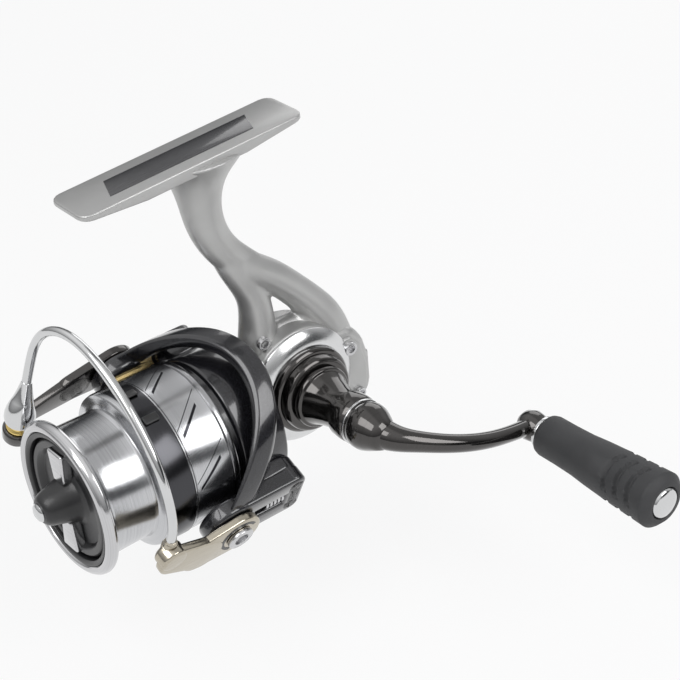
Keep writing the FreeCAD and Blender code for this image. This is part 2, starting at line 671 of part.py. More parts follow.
def make_spool():
    """The spool: a barrel between a front lip and a skirt that hangs over the rotor's drum."""
    lip = s.lip_x
    lip_rear = lip - s.lip_width
    skirt_in = s.skirt_radius - s.skirt_wall
    floor = s.drag_floor
    hub = s.spool_hub_radius
    hub_bore = s.shaft_radius + 1.2
    body = turned(
        "spool",
        [(s.skirt_rear, skirt_in), (s.skirt_rear, s.skirt_radius), (s.skirt_rear + 2, s.skirt_radius),
         (s.barrel_rear - 2, s.skirt_radius - 0.5), (s.barrel_rear, s.skirt_radius - 1),
         (s.barrel_rear, s.barrel_radius), (lip_rear, s.barrel_radius + 0.4), (lip_rear, s.lip_bore - 0.4),
         (lip - 1, s.lip_bore - 0.4), (lip - 1, s.lip_bore - 1.6),
         (s.drag_knob_back - 0.6, s.lip_bore - 1.9),
         (s.drag_knob_back - 0.6, s.drag_bore), (floor, s.drag_bore), (floor, hub_bore),
         (floor - 9, hub_bore), (floor - 9, hub), (floor - 2, hub), (floor - 2, s.barrel_radius - 1.4),
         (s.barrel_rear - 1.6, s.barrel_radius - 1.4), (s.barrel_rear - 1.6, skirt_in)],
        AXIS,
    )
    node(body, "spool")
    rim = turned(
        "spool_lip",
        [(lip_rear, s.lip_bore - 0.4 + s.seat), (lip_rear, s.lip_radius - 0.6),
         (lip_rear + 1, s.lip_radius),
         (lip - 0.8, s.lip_radius - 0.7), (lip, s.lip_bore + 0.6), (lip, s.lip_bore - 0.4 + s.seat)],
        AXIS,
    )
    node(rim, "spool_lip")
    bearing = s.shaft_radius + s.running
    node(ring("x", floor - 8.5, floor - 6.5, hub_bore - s.seat, bearing, AXIS), "spool_bearing_rear")
    node(ring("x", floor - 2.4, floor - 0.4, hub_bore - s.seat, bearing, AXIS), "spool_bearing_front")
    clips = []
    for angle in (62, 88):
        low = (s.barrel_rear - 7.5, as_term(-1.3), s.skirt_radius - 0.4)
        clip = block(low, (s.barrel_rear - 3, as_term(1.3), s.skirt_radius + 0.7))
        carry(clip, AXIS, FreeCAD.Rotation(ALONG, angle - QUARTER_TURN))
        clips.append(cut(clip, rod("x", s.barrel_rear - 9, s.barrel_rear, s.skirt_radius + s.seat, AXIS)))
    node(group(*clips), "line_clips")


def make_drag():
    """The washers in the spool's front well and the knob that presses them."""
    washer = s.drag_washer
    start = s.drag_floor
    inner = s.shaft_radius + 1.0
    for index, name in enumerate(("drag_washer_felt_1", "drag_washer_metal", "drag_washer_felt_2")):
        low = start + washer * index
        node(ring("x", low, low + washer, s.drag_bore - 0.4, inner, AXIS), name)
    ring_low = start + washer * 3
    retainer = ring("x", ring_low + 0.1, ring_low + 0.9, s.drag_bore - s.seat, s.drag_bore - 1.4, AXIS)
    node(retainer, "drag_retainer")
    back, face = s.drag_knob_back, s.drag_knob_face
    bore = s.shaft_radius + s.running
    outer = s.drag_knob_radius
    knob = turned(
        "drag_knob",
        [(back, s.shaft_radius + 3), (back, outer), (face, outer - 0.6), (face, outer - 3),
         (face - 1.6, outer - 3.4), (face - 1.6, s.drag_nose_radius + 5),
         (face + 1, s.drag_nose_radius + 3.4),
         (s.drag_nose, s.drag_nose_radius), (s.drag_nose, ZERO), (s.shaft_front + 0.4, ZERO),
         (s.shaft_front + 0.4, bore), (back + 3, bore), (back + 3, s.shaft_radius + 3)],
        AXIS,
    )
    node(knob, "drag_knob")
    cap = turned(
        "drag_knob_cap",
        [(s.drag_nose, ZERO), (s.drag_nose, s.drag_nose_radius - 0.4),
         (s.drag_nose + 1.2, s.drag_nose_radius - 1.2),
         (s.drag_nose + 1.2, ZERO)],
        AXIS,
    )
    node(cap, "drag_knob_cap")
    half = s.drag_bar_width / 2
    bars = []
    for side in (1, -1):
        low = (s.drag_nose_radius + 5.2) * side
        high = (outer - 3.8) * side
        first, last = (low, high) if side == 1 else (high, low)
        bars.append(block((face - 1.6, -half, SHAFT_Z + first), (face + 1.8, half, SHAFT_Z + last)))
    node(group(*bars), "drag_grip_bars")
    press_low = ring_low + 1.2
    node(
        ring("x", press_low, back - 0.2, s.shaft_radius + 4, s.shaft_radius + s.air, AXIS),
        "drag_spring_cup"
    )


def crank(name_points):
    """Turns points of distance along the crank, and of Y, into places in space."""
    length = math.hypot(s.crank_reach.value, s.crank_drop.value)
    along = FreeCAD.Vector(-s.crank_reach.value / length, 0, -s.crank_drop.value / length)
    hub = FreeCAD.Vector(DRIVE[0].value, 0, DRIVE[2].value)
    return [hub + along * far + FreeCAD.Vector(0, height, 0) for far, height in name_points]


def make_handle():
    """The cone that screws to the drive shaft, the cranked arm and the knob's pin."""
    line = (DRIVE[0], ZERO, DRIVE[2])
    bore = s.drive_shaft_radius + s.seat
    stop = s.cone_end - 5.8
    cone = turned(
        "handle_cone",
        [(s.cone_start, bore), (s.cone_start, s.cone_root), (s.cone_start + 1, s.cone_root),
         ((s.cone_start + s.cone_end) / 2, (s.cone_root + s.cone_tip) / 2 - 0.5), (s.cone_end, s.cone_tip),
         (s.cone_end + 1.4, s.cone_tip), (s.cone_end + 1.4, ZERO), (stop, ZERO), (stop, bore)],
        line, Y_LINE,
    )
    node(cone, "handle_cone")
    length = math.hypot(s.crank_reach.value, s.crank_drop.value)
    start = s.cone_end.value + 1.4
    hub = turned(
        "arm_hub",
        [(s.cone_end + 1.4, ZERO), (s.cone_end + 1.4, s.arm_hub_radius - 0.8),
         (s.cone_end + 3, s.arm_hub_radius),
         (s.cone_end + 6, s.arm_hub_radius - 0.4), (s.cone_end + 10, s.arm_radius + 1.2),
         (s.cone_end + 11.5, ZERO)],
        line, Y_LINE,
    )
    bow = s.arm_bow.value
    route = crank(
        [(0, start + 3), (5, start + 12), (14, bow - 3.4), (28, bow), (length, s.knob_eye_y.value)]
    )
    path = rounded_path(route)
    rim = Part.Wire(Part.makeCircle(s.arm_radius.value, route[0], route[1] - route[0]))
    tube = doc.addObject("Part::Feature", "arm_tube")
    swept = path.makePipeShell([rim], True, True)
    tube.Shape = swept if swept.ShapeType == "Solid" else swept.Solids[0]
    eye_line = (DRIVE[0] - s.crank_reach, ZERO, DRIVE[2] - s.crank_drop)
    eye = rod("y", s.knob_eye_y - 4.4, s.knob_start - s.air, s.knob_eye_radius, eye_line)
    pin_room = rod("y", s.knob_eye_y - 2, s.knob_start + 1, s.knob_pin_radius + s.seat, eye_line)
    node(cut(fuse(hub, tube, eye), pin_room), "handle_arm")
    tail = s.knob_end - 5
    pin = fuse(
        rod("y", s.knob_eye_y - 2, tail, s.knob_pin_radius, eye_line),
        rod("y", tail, tail + 0.9, s.knob_pin_radius + 1.0, eye_line),
    )
    node(pin, "knob_pin")
    return eye_line, tail


def make_knob(line, tail):
    """The grip that spins on the knob's pin, on two bearings, with a cap over its end."""
    start, end = s.knob_start, s.knob_end
    bore = s.knob_bore
    grip = turned(
        "knob_grip",
        [(start, bore), (start, s.knob_root - 1), (start + 1, s.knob_root), (start + 13, s.knob_waist),
         (end - 20, s.knob_belly - 0.9), (end - 11, s.knob_belly), (end - 6, s.knob_belly - 0.2),
         (end - 2.6, s.knob_cap_radius + 2), (end - 1.4, s.knob_cap_radius), (end - 3.4, s.knob_cap_radius),
         (end - 3.4, bore)],
        line, Y_LINE,
    )
    node(grip, "knob_grip")
    cap = turned(
        "knob_cap",
        [(end - 3.4 + s.seat, ZERO), (end - 3.4 + s.seat, s.knob_cap_radius - s.seat),
         (end - 1.4, s.knob_cap_radius - s.seat), (end - 0.3, s.knob_cap_radius - 1.6), (end, ZERO)],
        line, Y_LINE,
    )
    node(cap, "knob_cap")
    inner = s.knob_pin_radius + s.running
    outer = bore - s.seat
    node(ring("y", start + 1, start + 4, outer, inner, line), "knob_bearing_inner")
    node(ring("y", tail - 3.4, tail - 0.3, outer, inner, line), "knob_bearing_outer")


def check(thing):
    """Stops the build if an object failed or has no valid shape."""
    if "Invalid" in thing.State or "Error" in thing.State:
        raise RuntimeError(f"{thing.Label} failed: {thing.State}")


make_housing()
make_case_parts()
make_cover_screws()
make_drive()
make_oscillator()
make_shaft_parts()
make_rotor()
make_rotor_parts()
make_pivots()
make_wire(make_bail())
make_spool()
make_drag()
make_knob(*make_handle())
doc.recompute()

for thing in doc.Objects:
    check(thing)
os.makedirs("parts", exist_ok=True)
for part in nodes:
    shape = part.Shape
    if shape.isNull() or not shape.isValid():
        raise RuntimeError(f"{part.Label} has no valid shape")
    shape.exportStep(f"parts/{part.Label}.step")
    print(part.Label, len(shape.Solids), round(shape.Volume, 1))
print("nodes:", len(nodes))
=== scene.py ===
"""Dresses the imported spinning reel: its outer pieces are modelled, finished, lit and framed."""

import json
import logging
import math
from dataclasses import dataclass
from enum import Enum

import bmesh
import bpy
from mathutils import Matrix, Vector


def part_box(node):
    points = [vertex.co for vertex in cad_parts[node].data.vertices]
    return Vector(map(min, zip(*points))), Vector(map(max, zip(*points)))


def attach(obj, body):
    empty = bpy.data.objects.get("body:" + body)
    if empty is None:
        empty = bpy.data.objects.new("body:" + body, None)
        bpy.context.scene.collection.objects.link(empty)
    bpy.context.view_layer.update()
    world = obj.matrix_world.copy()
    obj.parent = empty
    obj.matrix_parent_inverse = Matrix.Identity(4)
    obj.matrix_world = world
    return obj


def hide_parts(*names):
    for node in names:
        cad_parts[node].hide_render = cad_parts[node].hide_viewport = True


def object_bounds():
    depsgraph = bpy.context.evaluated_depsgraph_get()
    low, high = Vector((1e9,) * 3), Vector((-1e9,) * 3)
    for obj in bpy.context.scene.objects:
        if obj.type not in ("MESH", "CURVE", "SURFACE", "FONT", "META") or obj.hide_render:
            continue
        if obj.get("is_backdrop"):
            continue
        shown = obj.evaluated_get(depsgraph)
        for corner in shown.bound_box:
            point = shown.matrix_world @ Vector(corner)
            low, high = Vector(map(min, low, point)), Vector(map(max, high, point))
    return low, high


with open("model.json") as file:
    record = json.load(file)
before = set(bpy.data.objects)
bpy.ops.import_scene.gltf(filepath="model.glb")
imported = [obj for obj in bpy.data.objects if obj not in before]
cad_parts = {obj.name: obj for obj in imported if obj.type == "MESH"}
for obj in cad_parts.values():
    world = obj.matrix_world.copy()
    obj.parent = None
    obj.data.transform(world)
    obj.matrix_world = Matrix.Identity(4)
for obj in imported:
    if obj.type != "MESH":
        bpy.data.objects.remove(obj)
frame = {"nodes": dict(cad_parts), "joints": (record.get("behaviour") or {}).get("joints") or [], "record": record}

LOG = logging.getLogger("reel")
MM = 0.001
FULL_TURN = 2 * math.pi
ROUND_STEPS = 96
SMOOTH_STEPS = 128
FINE_STEPS = 144
DISC_STEPS = 40
WELD = 0.0005
COAT_ROUGHNESS = 0.08
BUMP_STRENGTH = 0.5
GRAIN_SHARE = 0.3
SLOT_POLISH = 0.25
INK = (0.035, 0.035, 0.04)
SKY_SHADOW = (0.04, 0.042, 0.045)

Point = tuple[float, float]
Place = tuple[float, float, float]


class Body(Enum):
    """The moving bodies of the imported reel."""

    CASE = "case"
    HANDLE = "handle"
    KNOB = "knob"
    ROTOR = "rotor"
    BAIL = "bail"
    ROLLER = "roller"
    SPOOL = "spool"
    DRAG = "drag"


class Line(Enum):
    """The direction that a turned piece is spun about."""

    ALONG = (1.0, 0.0, 0.0)
    ACROSS = (0.0, 1.0, 0.0)
    UP = (0.0, 0.0, 1.0)

    def arm(self, reach: float) -> Vector:
        """Gives the offset of a point that lies reach away from the line."""
        return Vector((reach, 0, 0)) if self is Line.UP else Vector((0, 0, reach))


@dataclass(frozen=True)
class Axle:
    """A line that turned pieces are spun about, and a point on it."""

    line: Line
    centre: Place = (0.0, 0.0, 0.0)


class Pattern(Enum):
    """How a finish varies over its surface."""

    MOTTLED = "mottled"
    BRUSHED = "brushed"
    TURNED_ALONG = "turned_along"
    TURNED_ACROSS = "turned_across"
    FLAKE = "flake"
    SKIRT = "skirt"


def joint_line(name: str) -> tuple[Vector, Vector]:
    """Finds where a joint's line lies.

    Args:
        name: The joint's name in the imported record.

    Returns:
        A point on the line in millimetres, and the line's direction.
    """
    joint = next(item for item in frame["joints"] if item["name"] == name)
    return Vector(joint["pos_m"]) / MM, Vector(joint["axis"])


SHAFT_LINE = joint_line("rotor_spin")[0]
DRIVE_LINE = joint_line("handle_turn")[0]
KNOB_LINE = joint_line("knob_spin")[0]
PIVOT_WAY = joint_line("bail_swing")[1]
FOOT_WAY = Vector(frame["record"]["mounts"][0]["axis"])
ROTOR_TURN = math.atan2(PIVOT_WAY.z, PIVOT_WAY.y)
ROTOR_PLACE = Matrix.Translation(SHAFT_LINE) @ Matrix.Rotation(ROTOR_TURN, 4, "X")
FOOT_PLACE = Matrix.Rotation(math.atan2(FOOT_WAY.x, FOOT_WAY.z), 4, "Y")
DRIVE = Axle(Line.ACROSS, (DRIVE_LINE.x, 0.0, DRIVE_LINE.z))
SHAFT = Axle(Line.ALONG, (0.0, 0.0, SHAFT_LINE.z))
KNOB = Axle(Line.ACROSS, (KNOB_LINE.x, 0.0, KNOB_LINE.z))


class Signal:
    """A number that flows between shader nodes and takes part in plain arithmetic."""

    def __init__(self, graph: "Graph", socket: bpy.types.NodeSocket) -> None:
        """Wraps one output socket of a graph."""
        self.graph = graph
        self.socket = socket

    def __add__(self, other: "Signal | float") -> "Signal":
        """Adds."""
        return self.graph.math("ADD", self, other)

    __radd__ = __add__

    def __sub__(self, other: "Signal | float") -> "Signal":
        """Subtracts."""
        return self.graph.math("SUBTRACT", self, other)

    def __rsub__(self, other: "Signal | float") -> "Signal":
        """Subtracts this from another."""
        return self.graph.math("SUBTRACT", other, self)

    def __mul__(self, other: "Signal | float") -> "Signal":
        """Multiplies."""
        return self.graph.math("MULTIPLY", self, other)

    __rmul__ = __mul__

    def __truediv__(self, other: "Signal | float") -> "Signal":
        """Divides."""
        return self.graph.math("DIVIDE", self, other)

    def __pow__(self, other: "Signal | float") -> "Signal":
        """Raises to a power."""
        return self.graph.math("POWER", self, other)

    def rises(self, start: float, end: float) -> "Signal":
        """Ramps from 0 at start to 1 at end, and holds beyond."""
        return self.graph.clamped((self - start) / (end - start))

    def between(self, low: float, high: float, soft: float) -> "Signal":
        """Masks the stretch from low to high, with soft edges."""
        return self.rises(low - soft, low) * (1 - self.rises(high, high + soft))


class Graph:
    """Builds one material's nodes."""

    def __init__(self, tree: bpy.types.NodeTree) -> None:
        """Empties a node tree and keeps it."""
        self.tree = tree
        self.tree.nodes.clear()

    def add(self, kind: str, settings: dict | None = None, inputs: dict | None = None) -> bpy.types.Node:
        """Adds a node.

        Args:
            kind: The node's type.
            settings: Properties that are set first.
            inputs: Values, signals or sockets for its inputs, by name or by number.

        Returns:
            The new node.
        """
        node = self.tree.nodes.new(kind)
        for name, value in (settings or {}).items():
            setattr(node, name, value)
        for key, value in (inputs or {}).items():
            source = value.socket if isinstance(value, Signal) else value
            if isinstance(source, bpy.types.NodeSocket):
                self.tree.links.new(source, node.inputs[key])
            else:
                node.inputs[key].default_value = source
        return node

    def math(self, operation: str, *values: Signal | float) -> Signal:
        """Adds a Math node and gives its result."""
        node = self.add("ShaderNodeMath", {"operation": operation}, dict(enumerate(values)))
        return Signal(self, node.outputs[0])

    def clamped(self, value: Signal) -> Signal:
        """Holds a signal between 0 and 1."""
        node = self.add("ShaderNodeClamp", {}, {"Value": value})
        return Signal(self, node.outputs[0])

    def place(self) -> tuple[Signal, Signal, Signal]:
        """Gives the surface point's place in millimetres."""
        source = self.add("ShaderNodeTexCoord").outputs["Object"]
        split = self.add("ShaderNodeSeparateXYZ", {}, {0: source})
        return tuple(Signal(self, split.outputs[i]) * (1 / MM) for i in range(3))

    def vector(self, x: Signal | float, y: Signal | float, z: Signal | float) -> bpy.types.NodeSocket:
        """Joins three numbers."""
        return self.add("ShaderNodeCombineXYZ", {}, {0: x, 1: y, 2: z}).outputs[0]

    def noise(self, vector: bpy.types.NodeSocket, scale: float, detail: float = 3.0) -> Signal:
        """Adds a noise of about a given number of lumps a millimetre."""
        inputs = {"Vector": vector, "Scale": scale, "Detail": detail}
        return Signal(self, self.add("ShaderNodeTexNoise", {}, inputs).outputs[0])

    def mix(self, mask: Signal, first: tuple | bpy.types.NodeSocket, second: tuple) -> bpy.types.NodeSocket:
        """Blends two colours."""
        inputs = {0: mask, 6: first, 7: second}
        return self.add("ShaderNodeMix", {"data_type": "RGBA"}, inputs).outputs[2]


Surface = tuple[Signal, bpy.types.NodeSocket, Signal]


def opaque(colour: Place) -> tuple[float, float, float, float]:
    """Gives a colour its alpha."""
    return (*colour, 1.0)


@dataclass(frozen=True)
class Finish:
    """One finish: its colours, gloss and fine relief."""

    name: str
    colour: Place
    deep: Place
    metallic: float
    roughness: float
    spread: float = 0.06
    pattern: Pattern = Pattern.MOTTLED
    grain: float = 3.0
    relief: float = 0.003
    coat: float = 0.0

    def build(self) -> bpy.types.Material:
        """Makes the material.

        Returns:
            A new material with this finish's nodes.
        """
        material = bpy.data.materials.new(self.name)
        material.use_nodes = True
        graph = Graph(material.node_tree)
        x, y, z = graph.place()
        fine, colour, height = self.surface(graph, x, y, z)
        rough = self.roughness + self.spread * (fine - 0.5)
        if self.pattern is Pattern.SKIRT:
            rough = rough + SLOT_POLISH * height
        lift, reach = height + fine * GRAIN_SHARE, self.relief * MM * 10
        bump = graph.add("ShaderNodeBump", {}, {"Strength": BUMP_STRENGTH, "Distance": reach, "Height": lift})
        inputs = {
            "Base Color": colour, "Metallic": self.metallic, "Roughness": rough,
            "Normal": bump.outputs[0], "Coat Weight": self.coat, "Coat Roughness": COAT_ROUGHNESS,
        }
        shader = graph.add("ShaderNodeBsdfPrincipled", {}, inputs)
        graph.add("ShaderNodeOutputMaterial", {}, {0: shader.outputs[0]})
        return material

    def streaked(self, graph: Graph, fine: Signal) -> bpy.types.NodeSocket:
        """Blends the two colours along the fine grain."""
        return graph.mix(fine.rises(0.3, 0.7), opaque(self.deep), opaque(self.colour))

    def surface(self, graph: Graph, x: Signal, y: Signal, z: Signal) -> Surface:
        """Works out the pattern.

        Args:
            graph: The material's nodes.
            x: Distance forward in millimetres.
            y: Distance to the handle's side in millimetres.
            z: Height in millimetres.

        Returns:
            The fine grain, the colour and the relief's height.
        """
        if self.pattern is Pattern.BRUSHED:
            fine = graph.noise(graph.vector(x * 0.12, y * 2.0, z * 2.0), self.grain, 4.0)
            return fine, self.streaked(graph, fine), fine
        if self.pattern in (Pattern.TURNED_ALONG, Pattern.SKIRT):
            reach = ((z - SHAFT_LINE.z) ** 2.0 + y ** 2.0) ** 0.5
            fine = graph.noise(graph.vector(x, reach, 0.0), self.grain, 2.0)
            if self.pattern is Pattern.SKIRT:
                return self.skirt(graph, x, y, z, fine)
            return fine, self.streaked(graph, fine), fine
        if self.pattern is Pattern.TURNED_ACROSS:
            reach = ((z - DRIVE_LINE.z) ** 2.0 + (x - DRIVE_LINE.x) ** 2.0) ** 0.5
            fine = graph.noise(graph.vector(y, reach, 0.0), self.grain, 2.0)
            return fine, self.streaked(graph, fine), fine
        base, deep = opaque(self.colour), opaque(self.deep)
        spot = graph.vector(x, y, z)
        fine = graph.noise(spot, self.grain, 4.0)
        if self.pattern is Pattern.FLAKE:
            inputs = {"Vector": spot, "Scale": self.grain * 2.5}
            cell = graph.add("ShaderNodeTexVoronoi", {"feature": "F1"}, inputs)
            parted = graph.add("ShaderNodeSeparateColor", {}, {0: cell.outputs["Color"]})
            chance = Signal(graph, parted.outputs[0])
            return fine, graph.mix(chance.rises(0.72, 1.0), base, deep), fine * 0.2
        broad = graph.noise(spot, 0.12, 2.0)
        return fine, graph.mix((broad + fine * 0.4).rises(0.4, 1.0), base, deep), fine

    def skirt(self, graph: Graph, x: Signal, y: Signal, z: Signal, fine: Signal) -> Surface:
        """Works out the spool's barrel, its dark front band and the slanted lines of its skirt.

        Args:
            graph: The material's nodes.
            x: Distance forward in millimetres.
            y: Distance to the handle's side in millimetres.
            z: Height in millimetres.
            fine: The turned metal's fine grain.

        Returns:
            The fine grain, the colour and the relief's height.
        """
        angle = graph.math("ARCTAN2", z - SHAFT_LINE.z, y) * (1 / FULL_TURN)
        slant = graph.math("FRACT", angle * 9.0 + x * 0.055 + 4.0)
        slot = slant.between(0.1, 0.155, 0.01) * x.between(12.5, 20.0, 0.2)
        hair = slant.between(0.3, 0.315, 0.005) * x.between(10.5, 21.0, 0.2)
        band = x.between(22.2, 29.2, 0.15)
        rim = x.between(9.2, 9.6, 0.1)
        line = graph.clamped(rim + x.between(21.3, 21.6, 0.05))
        dark = graph.clamped(slot + hair + band * 0.93 + line * 0.7)
        colour = graph.mix(dark, self.streaked(graph, fine), opaque(INK))
        return fine, colour, graph.clamped(slot + line) * -1.0


SATIN = Finish(
    "satin_casting", (0.5, 0.5, 0.495), (0.45, 0.45, 0.445), 0.75, 0.4,
    grain=9.0, relief=0.002, coat=0.15,
)
INLAY = Finish(
    "dark_inlay", (0.045, 0.045, 0.048), (0.075, 0.075, 0.08), 0.3, 0.22,
    spread=0.08, pattern=Pattern.BRUSHED, grain=2.0, relief=0.001, coat=0.6,
)
POLISHED = Finish(
    "polished_cover", (0.72, 0.725, 0.73), (0.66, 0.665, 0.67), 1.0, 0.18,
    grain=4.0, relief=0.002,
)
GUNMETAL = Finish(
    "dark_chrome", (0.062, 0.058, 0.056), (0.05, 0.047, 0.045), 0.9, 0.1,
    pattern=Pattern.TURNED_ACROSS, grain=2.4, relief=0.0015, coat=0.7,
)
BRIGHT = Finish(
    "bright_chrome", (0.66, 0.665, 0.67), (0.62, 0.625, 0.63), 1.0, 0.09,
    spread=0.04, relief=0.001,
)
CHARCOAL = Finish(
    "charcoal_flake", (0.011, 0.011, 0.013), (0.06, 0.06, 0.072), 0.3, 0.22,
    spread=0.05, pattern=Pattern.FLAKE, grain=5.0, relief=0.001, coat=1.0,
)
CHAMPAGNE = Finish(
    "champagne_nickel", (0.5, 0.46, 0.38), (0.43, 0.39, 0.32), 1.0, 0.17,
    spread=0.08, pattern=Pattern.BRUSHED, grain=1.6, relief=0.002,
)
GOLD = Finish("gold_roller", (0.86, 0.66, 0.25), (0.75, 0.55, 0.18), 1.0, 0.16, grain=4.0, relief=0.001)
RUBBER = Finish(
    "matt_grip", (0.032, 0.033, 0.035), (0.045, 0.045, 0.047), 0.0, 0.62,
    spread=0.12, grain=9.0, relief=0.006,
)
BLACK = Finish(
    "black_moulding", (0.012, 0.012, 0.013), (0.02, 0.02, 0.021), 0.0, 0.36,
    spread=0.1, grain=6.0, coat=0.15,
)
BARREL = Finish(
    "turned_spool", (0.6, 0.605, 0.62), (0.48, 0.485, 0.5), 1.0, 0.2,
    spread=0.1, pattern=Pattern.SKIRT, grain=5.0, relief=0.006,
)
TURNED = Finish(
    "turned_silver", (0.62, 0.62, 0.63), (0.52, 0.52, 0.53), 1.0, 0.13,
    pattern=Pattern.TURNED_ALONG, grain=4.0,
)
STEEL = Finish(
    "ground_steel", (0.62, 0.62, 0.63), (0.54, 0.54, 0.55), 1.0, 0.24,
    spread=0.1, pattern=Pattern.BRUSHED, grain=1.8, relief=0.002,
)
BRASS = Finish("machined_brass", (0.72, 0.56, 0.27), (0.62, 0.47, 0.21), 1.0, 0.28, spread=0.1, grain=5.0)
ALLOY = Finish(
    "machined_alloy", (0.58, 0.58, 0.59), (0.5, 0.5, 0.51), 1.0, 0.34,
    spread=0.1, pattern=Pattern.TURNED_ACROSS,
)
FELT = Finish(
    "washer_felt", (0.33, 0.31, 0.28), (0.24, 0.22, 0.2), 0.0, 0.95,
    spread=0.05, grain=14.0, relief=0.02,
)

SLOT_FINISHES = {
    "case_silver": SATIN, "cover_satin": POLISHED, "inlay_dark": INLAY, "trim_dark": GUNMETAL,
    "bearing_steel": STEEL, "steel": STEEL, "gear_brass": BRASS, "gear_alloy": ALLOY,
    "handle_dark": GUNMETAL, "grip_rubber": RUBBER, "chrome": BRIGHT, "rotor_gunmetal": CHARCOAL,
    "holder_champagne": CHAMPAGNE, "weight_alloy": BRASS, "roller_gold": GOLD, "spool_alloy": BARREL,
    "clip_black": BLACK, "felt": FELT, "knob_black": BLACK,
}
_made: dict[str, bpy.types.Material] = {}


def material_of(finish: Finish) -> bpy.types.Material:
    """Gives the one material of a finish, and makes it the first time."""
    if finish.name not in _made:
        _made[finish.name] = finish.build()
    return _made[finish.name]


class Form:
    """A mesh under construction, in millimetres."""

    def __init__(self) -> None:
        """Starts empty."""
        self.mesh = bmesh.new()

    @classmethod
    def turned(
        cls, profile: list[Point], axle: Axle, closed: bool = False, steps: int = ROUND_STEPS,
        sweep: float = FULL_TURN,
    ) -> "Form":
        """Spins a profile round a line.

        Args:
            profile: Points of distance along the line, from the axle's centre, and distance from it.
            axle: The line.
            closed: Whether the profile's last point joins its first.
            steps: How many steps the turn has.
            sweep: The turn's angle; a part turn has its ends filled.

        Returns:
            The turned form.
        """
        form = cls()
        way, middle = Vector(axle.line.value), Vector(axle.centre)
        corners = [form.mesh.verts.new(middle + way * at + axle.line.arm(reach)) for at, reach in profile]
        pairs = list(zip(corners, corners[1:])) + ([(corners[-1], corners[0])] if closed else [])
        edges = [form.mesh.edges.new(pair) for pair in pairs]
        whole = sweep == FULL_TURN
        bmesh.ops.spin(
            form.mesh, geom=corners + edges, cent=middle, axis=way, angle=sweep, steps=steps, use_merge=whole
        )
        if not whole:
            bmesh.ops.holes_fill(form.mesh, edges=form.mesh.edges[:], sides=0)
        return form.welded()

    @classmethod
    def slab(cls, outline: list[Point], low: float, high: float) -> "Form":
        """Extrudes an outline of forward and upward points across, from low to high."""
        form = cls()
        face = form.mesh.faces.new([form.mesh.verts.new((x, low, z)) for x, z in outline])
        pushed = bmesh.ops.extrude_face_region(form.mesh, geom=[face], use_keep_orig=True)["geom"]
        moved = [item for item in pushed if isinstance(item, bmesh.types.BMVert)]
        bmesh.ops.translate(form.mesh, verts=moved, vec=(0, high - low, 0))
        return form.welded()

    @classmethod
    def hull(cls, rounds: list[tuple[float, float, float]], low: float, high: float) -> "Form":
        """Wraps one skin round several upright discs that stand from low to high across."""
        form = cls()
        for x, z, radius in rounds:
            for across in (low, high):
                place = Matrix.Translation((x, across, z)) @ Matrix.Rotation(math.pi / 2, 4, "X")
                bmesh.ops.create_circle(form.mesh, segments=DISC_STEPS, radius=radius, matrix=place)
        wrapped = bmesh.ops.convex_hull(form.mesh, input=form.mesh.verts[:])
        spare = set(wrapped["geom_interior"] + wrapped["geom_unused"])
        loose = [item for item in spare if isinstance(item, bmesh.types.BMVert) and item.is_valid]
        bmesh.ops.delete(form.mesh, geom=loose, context="VERTS")
        return form.flattened(2).welded()

    @classmethod
    def box(cls, low: Place, high: Place) -> "Form":
        """Makes a block between two corners."""
        form = cls()
        bmesh.ops.create_cube(form.mesh, size=1.0)
        size = [b - a for a, b in zip(low, high)]
        bmesh.ops.scale(form.mesh, vec=size, verts=form.mesh.verts[:])
        middle = [(a + b) / 2 for a, b in zip(low, high)]
        bmesh.ops.translate(form.mesh, vec=middle, verts=form.mesh.verts[:])
        return form

    @classmethod
    def tube(cls, route: list[tuple[float, float, float, float]], order: int = 4, sides: int = 6) -> "Form":
        """Runs a round tube smoothly along a route.

        Args:
            route: Places, each with the tube's radius there.
            order: How smoothly the line follows its points.
            sides: How finely the tube's section is rounded.

        Returns:
            The tube, with closed ends.
        """
        curve = bpy.data.curves.new("route", "CURVE")
        curve.dimensions = "3D"
        curve.bevel_depth = 1.0
        curve.bevel_resolution = sides
        curve.resolution_u = 14
        curve.use_fill_caps = True
        spline = curve.splines.new("NURBS")
        spline.points.add(len(route) - 1)
        for point, (x, y, z, radius) in zip(spline.points, route):
            point.co = (x, y, z, 1.0)
            point.radius = radius
        spline.order_u = order
        spline.use_endpoint_u = True
        holder = bpy.data.objects.new("route", curve)
        made = bpy.data.meshes.new_from_object(holder)
        form = cls()
        form.mesh.from_mesh(made)
        bpy.data.objects.remove(holder)
        bpy.data.curves.remove(curve)
        bpy.data.meshes.remove(made)
        return form.welded()

    @classmethod
    def node(cls, name: str) -> "Form":
        """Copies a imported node's mesh, with its flat faces made whole."""
        form = cls()
        form.mesh.from_mesh(frame["nodes"][name].data)
        bmesh.ops.scale(form.mesh, vec=(1 / MM,) * 3, verts=form.mesh.verts[:])
        return form.welded().flattened(0.6)

    def welded(self) -> "Form":
        """Merges doubled corners and turns the faces outwards."""
        bmesh.ops.remove_doubles(self.mesh, verts=self.mesh.verts[:], dist=WELD)
        bmesh.ops.recalc_face_normals(self.mesh, faces=self.mesh.faces[:])
        return self

    def flattened(self, limit: float) -> "Form":
        """Makes faces that bend by less than a limit in degrees into one."""
        bmesh.ops.dissolve_limit(
            self.mesh, angle_limit=math.radians(limit), verts=self.mesh.verts[:], edges=self.mesh.edges[:]
        )
        return self

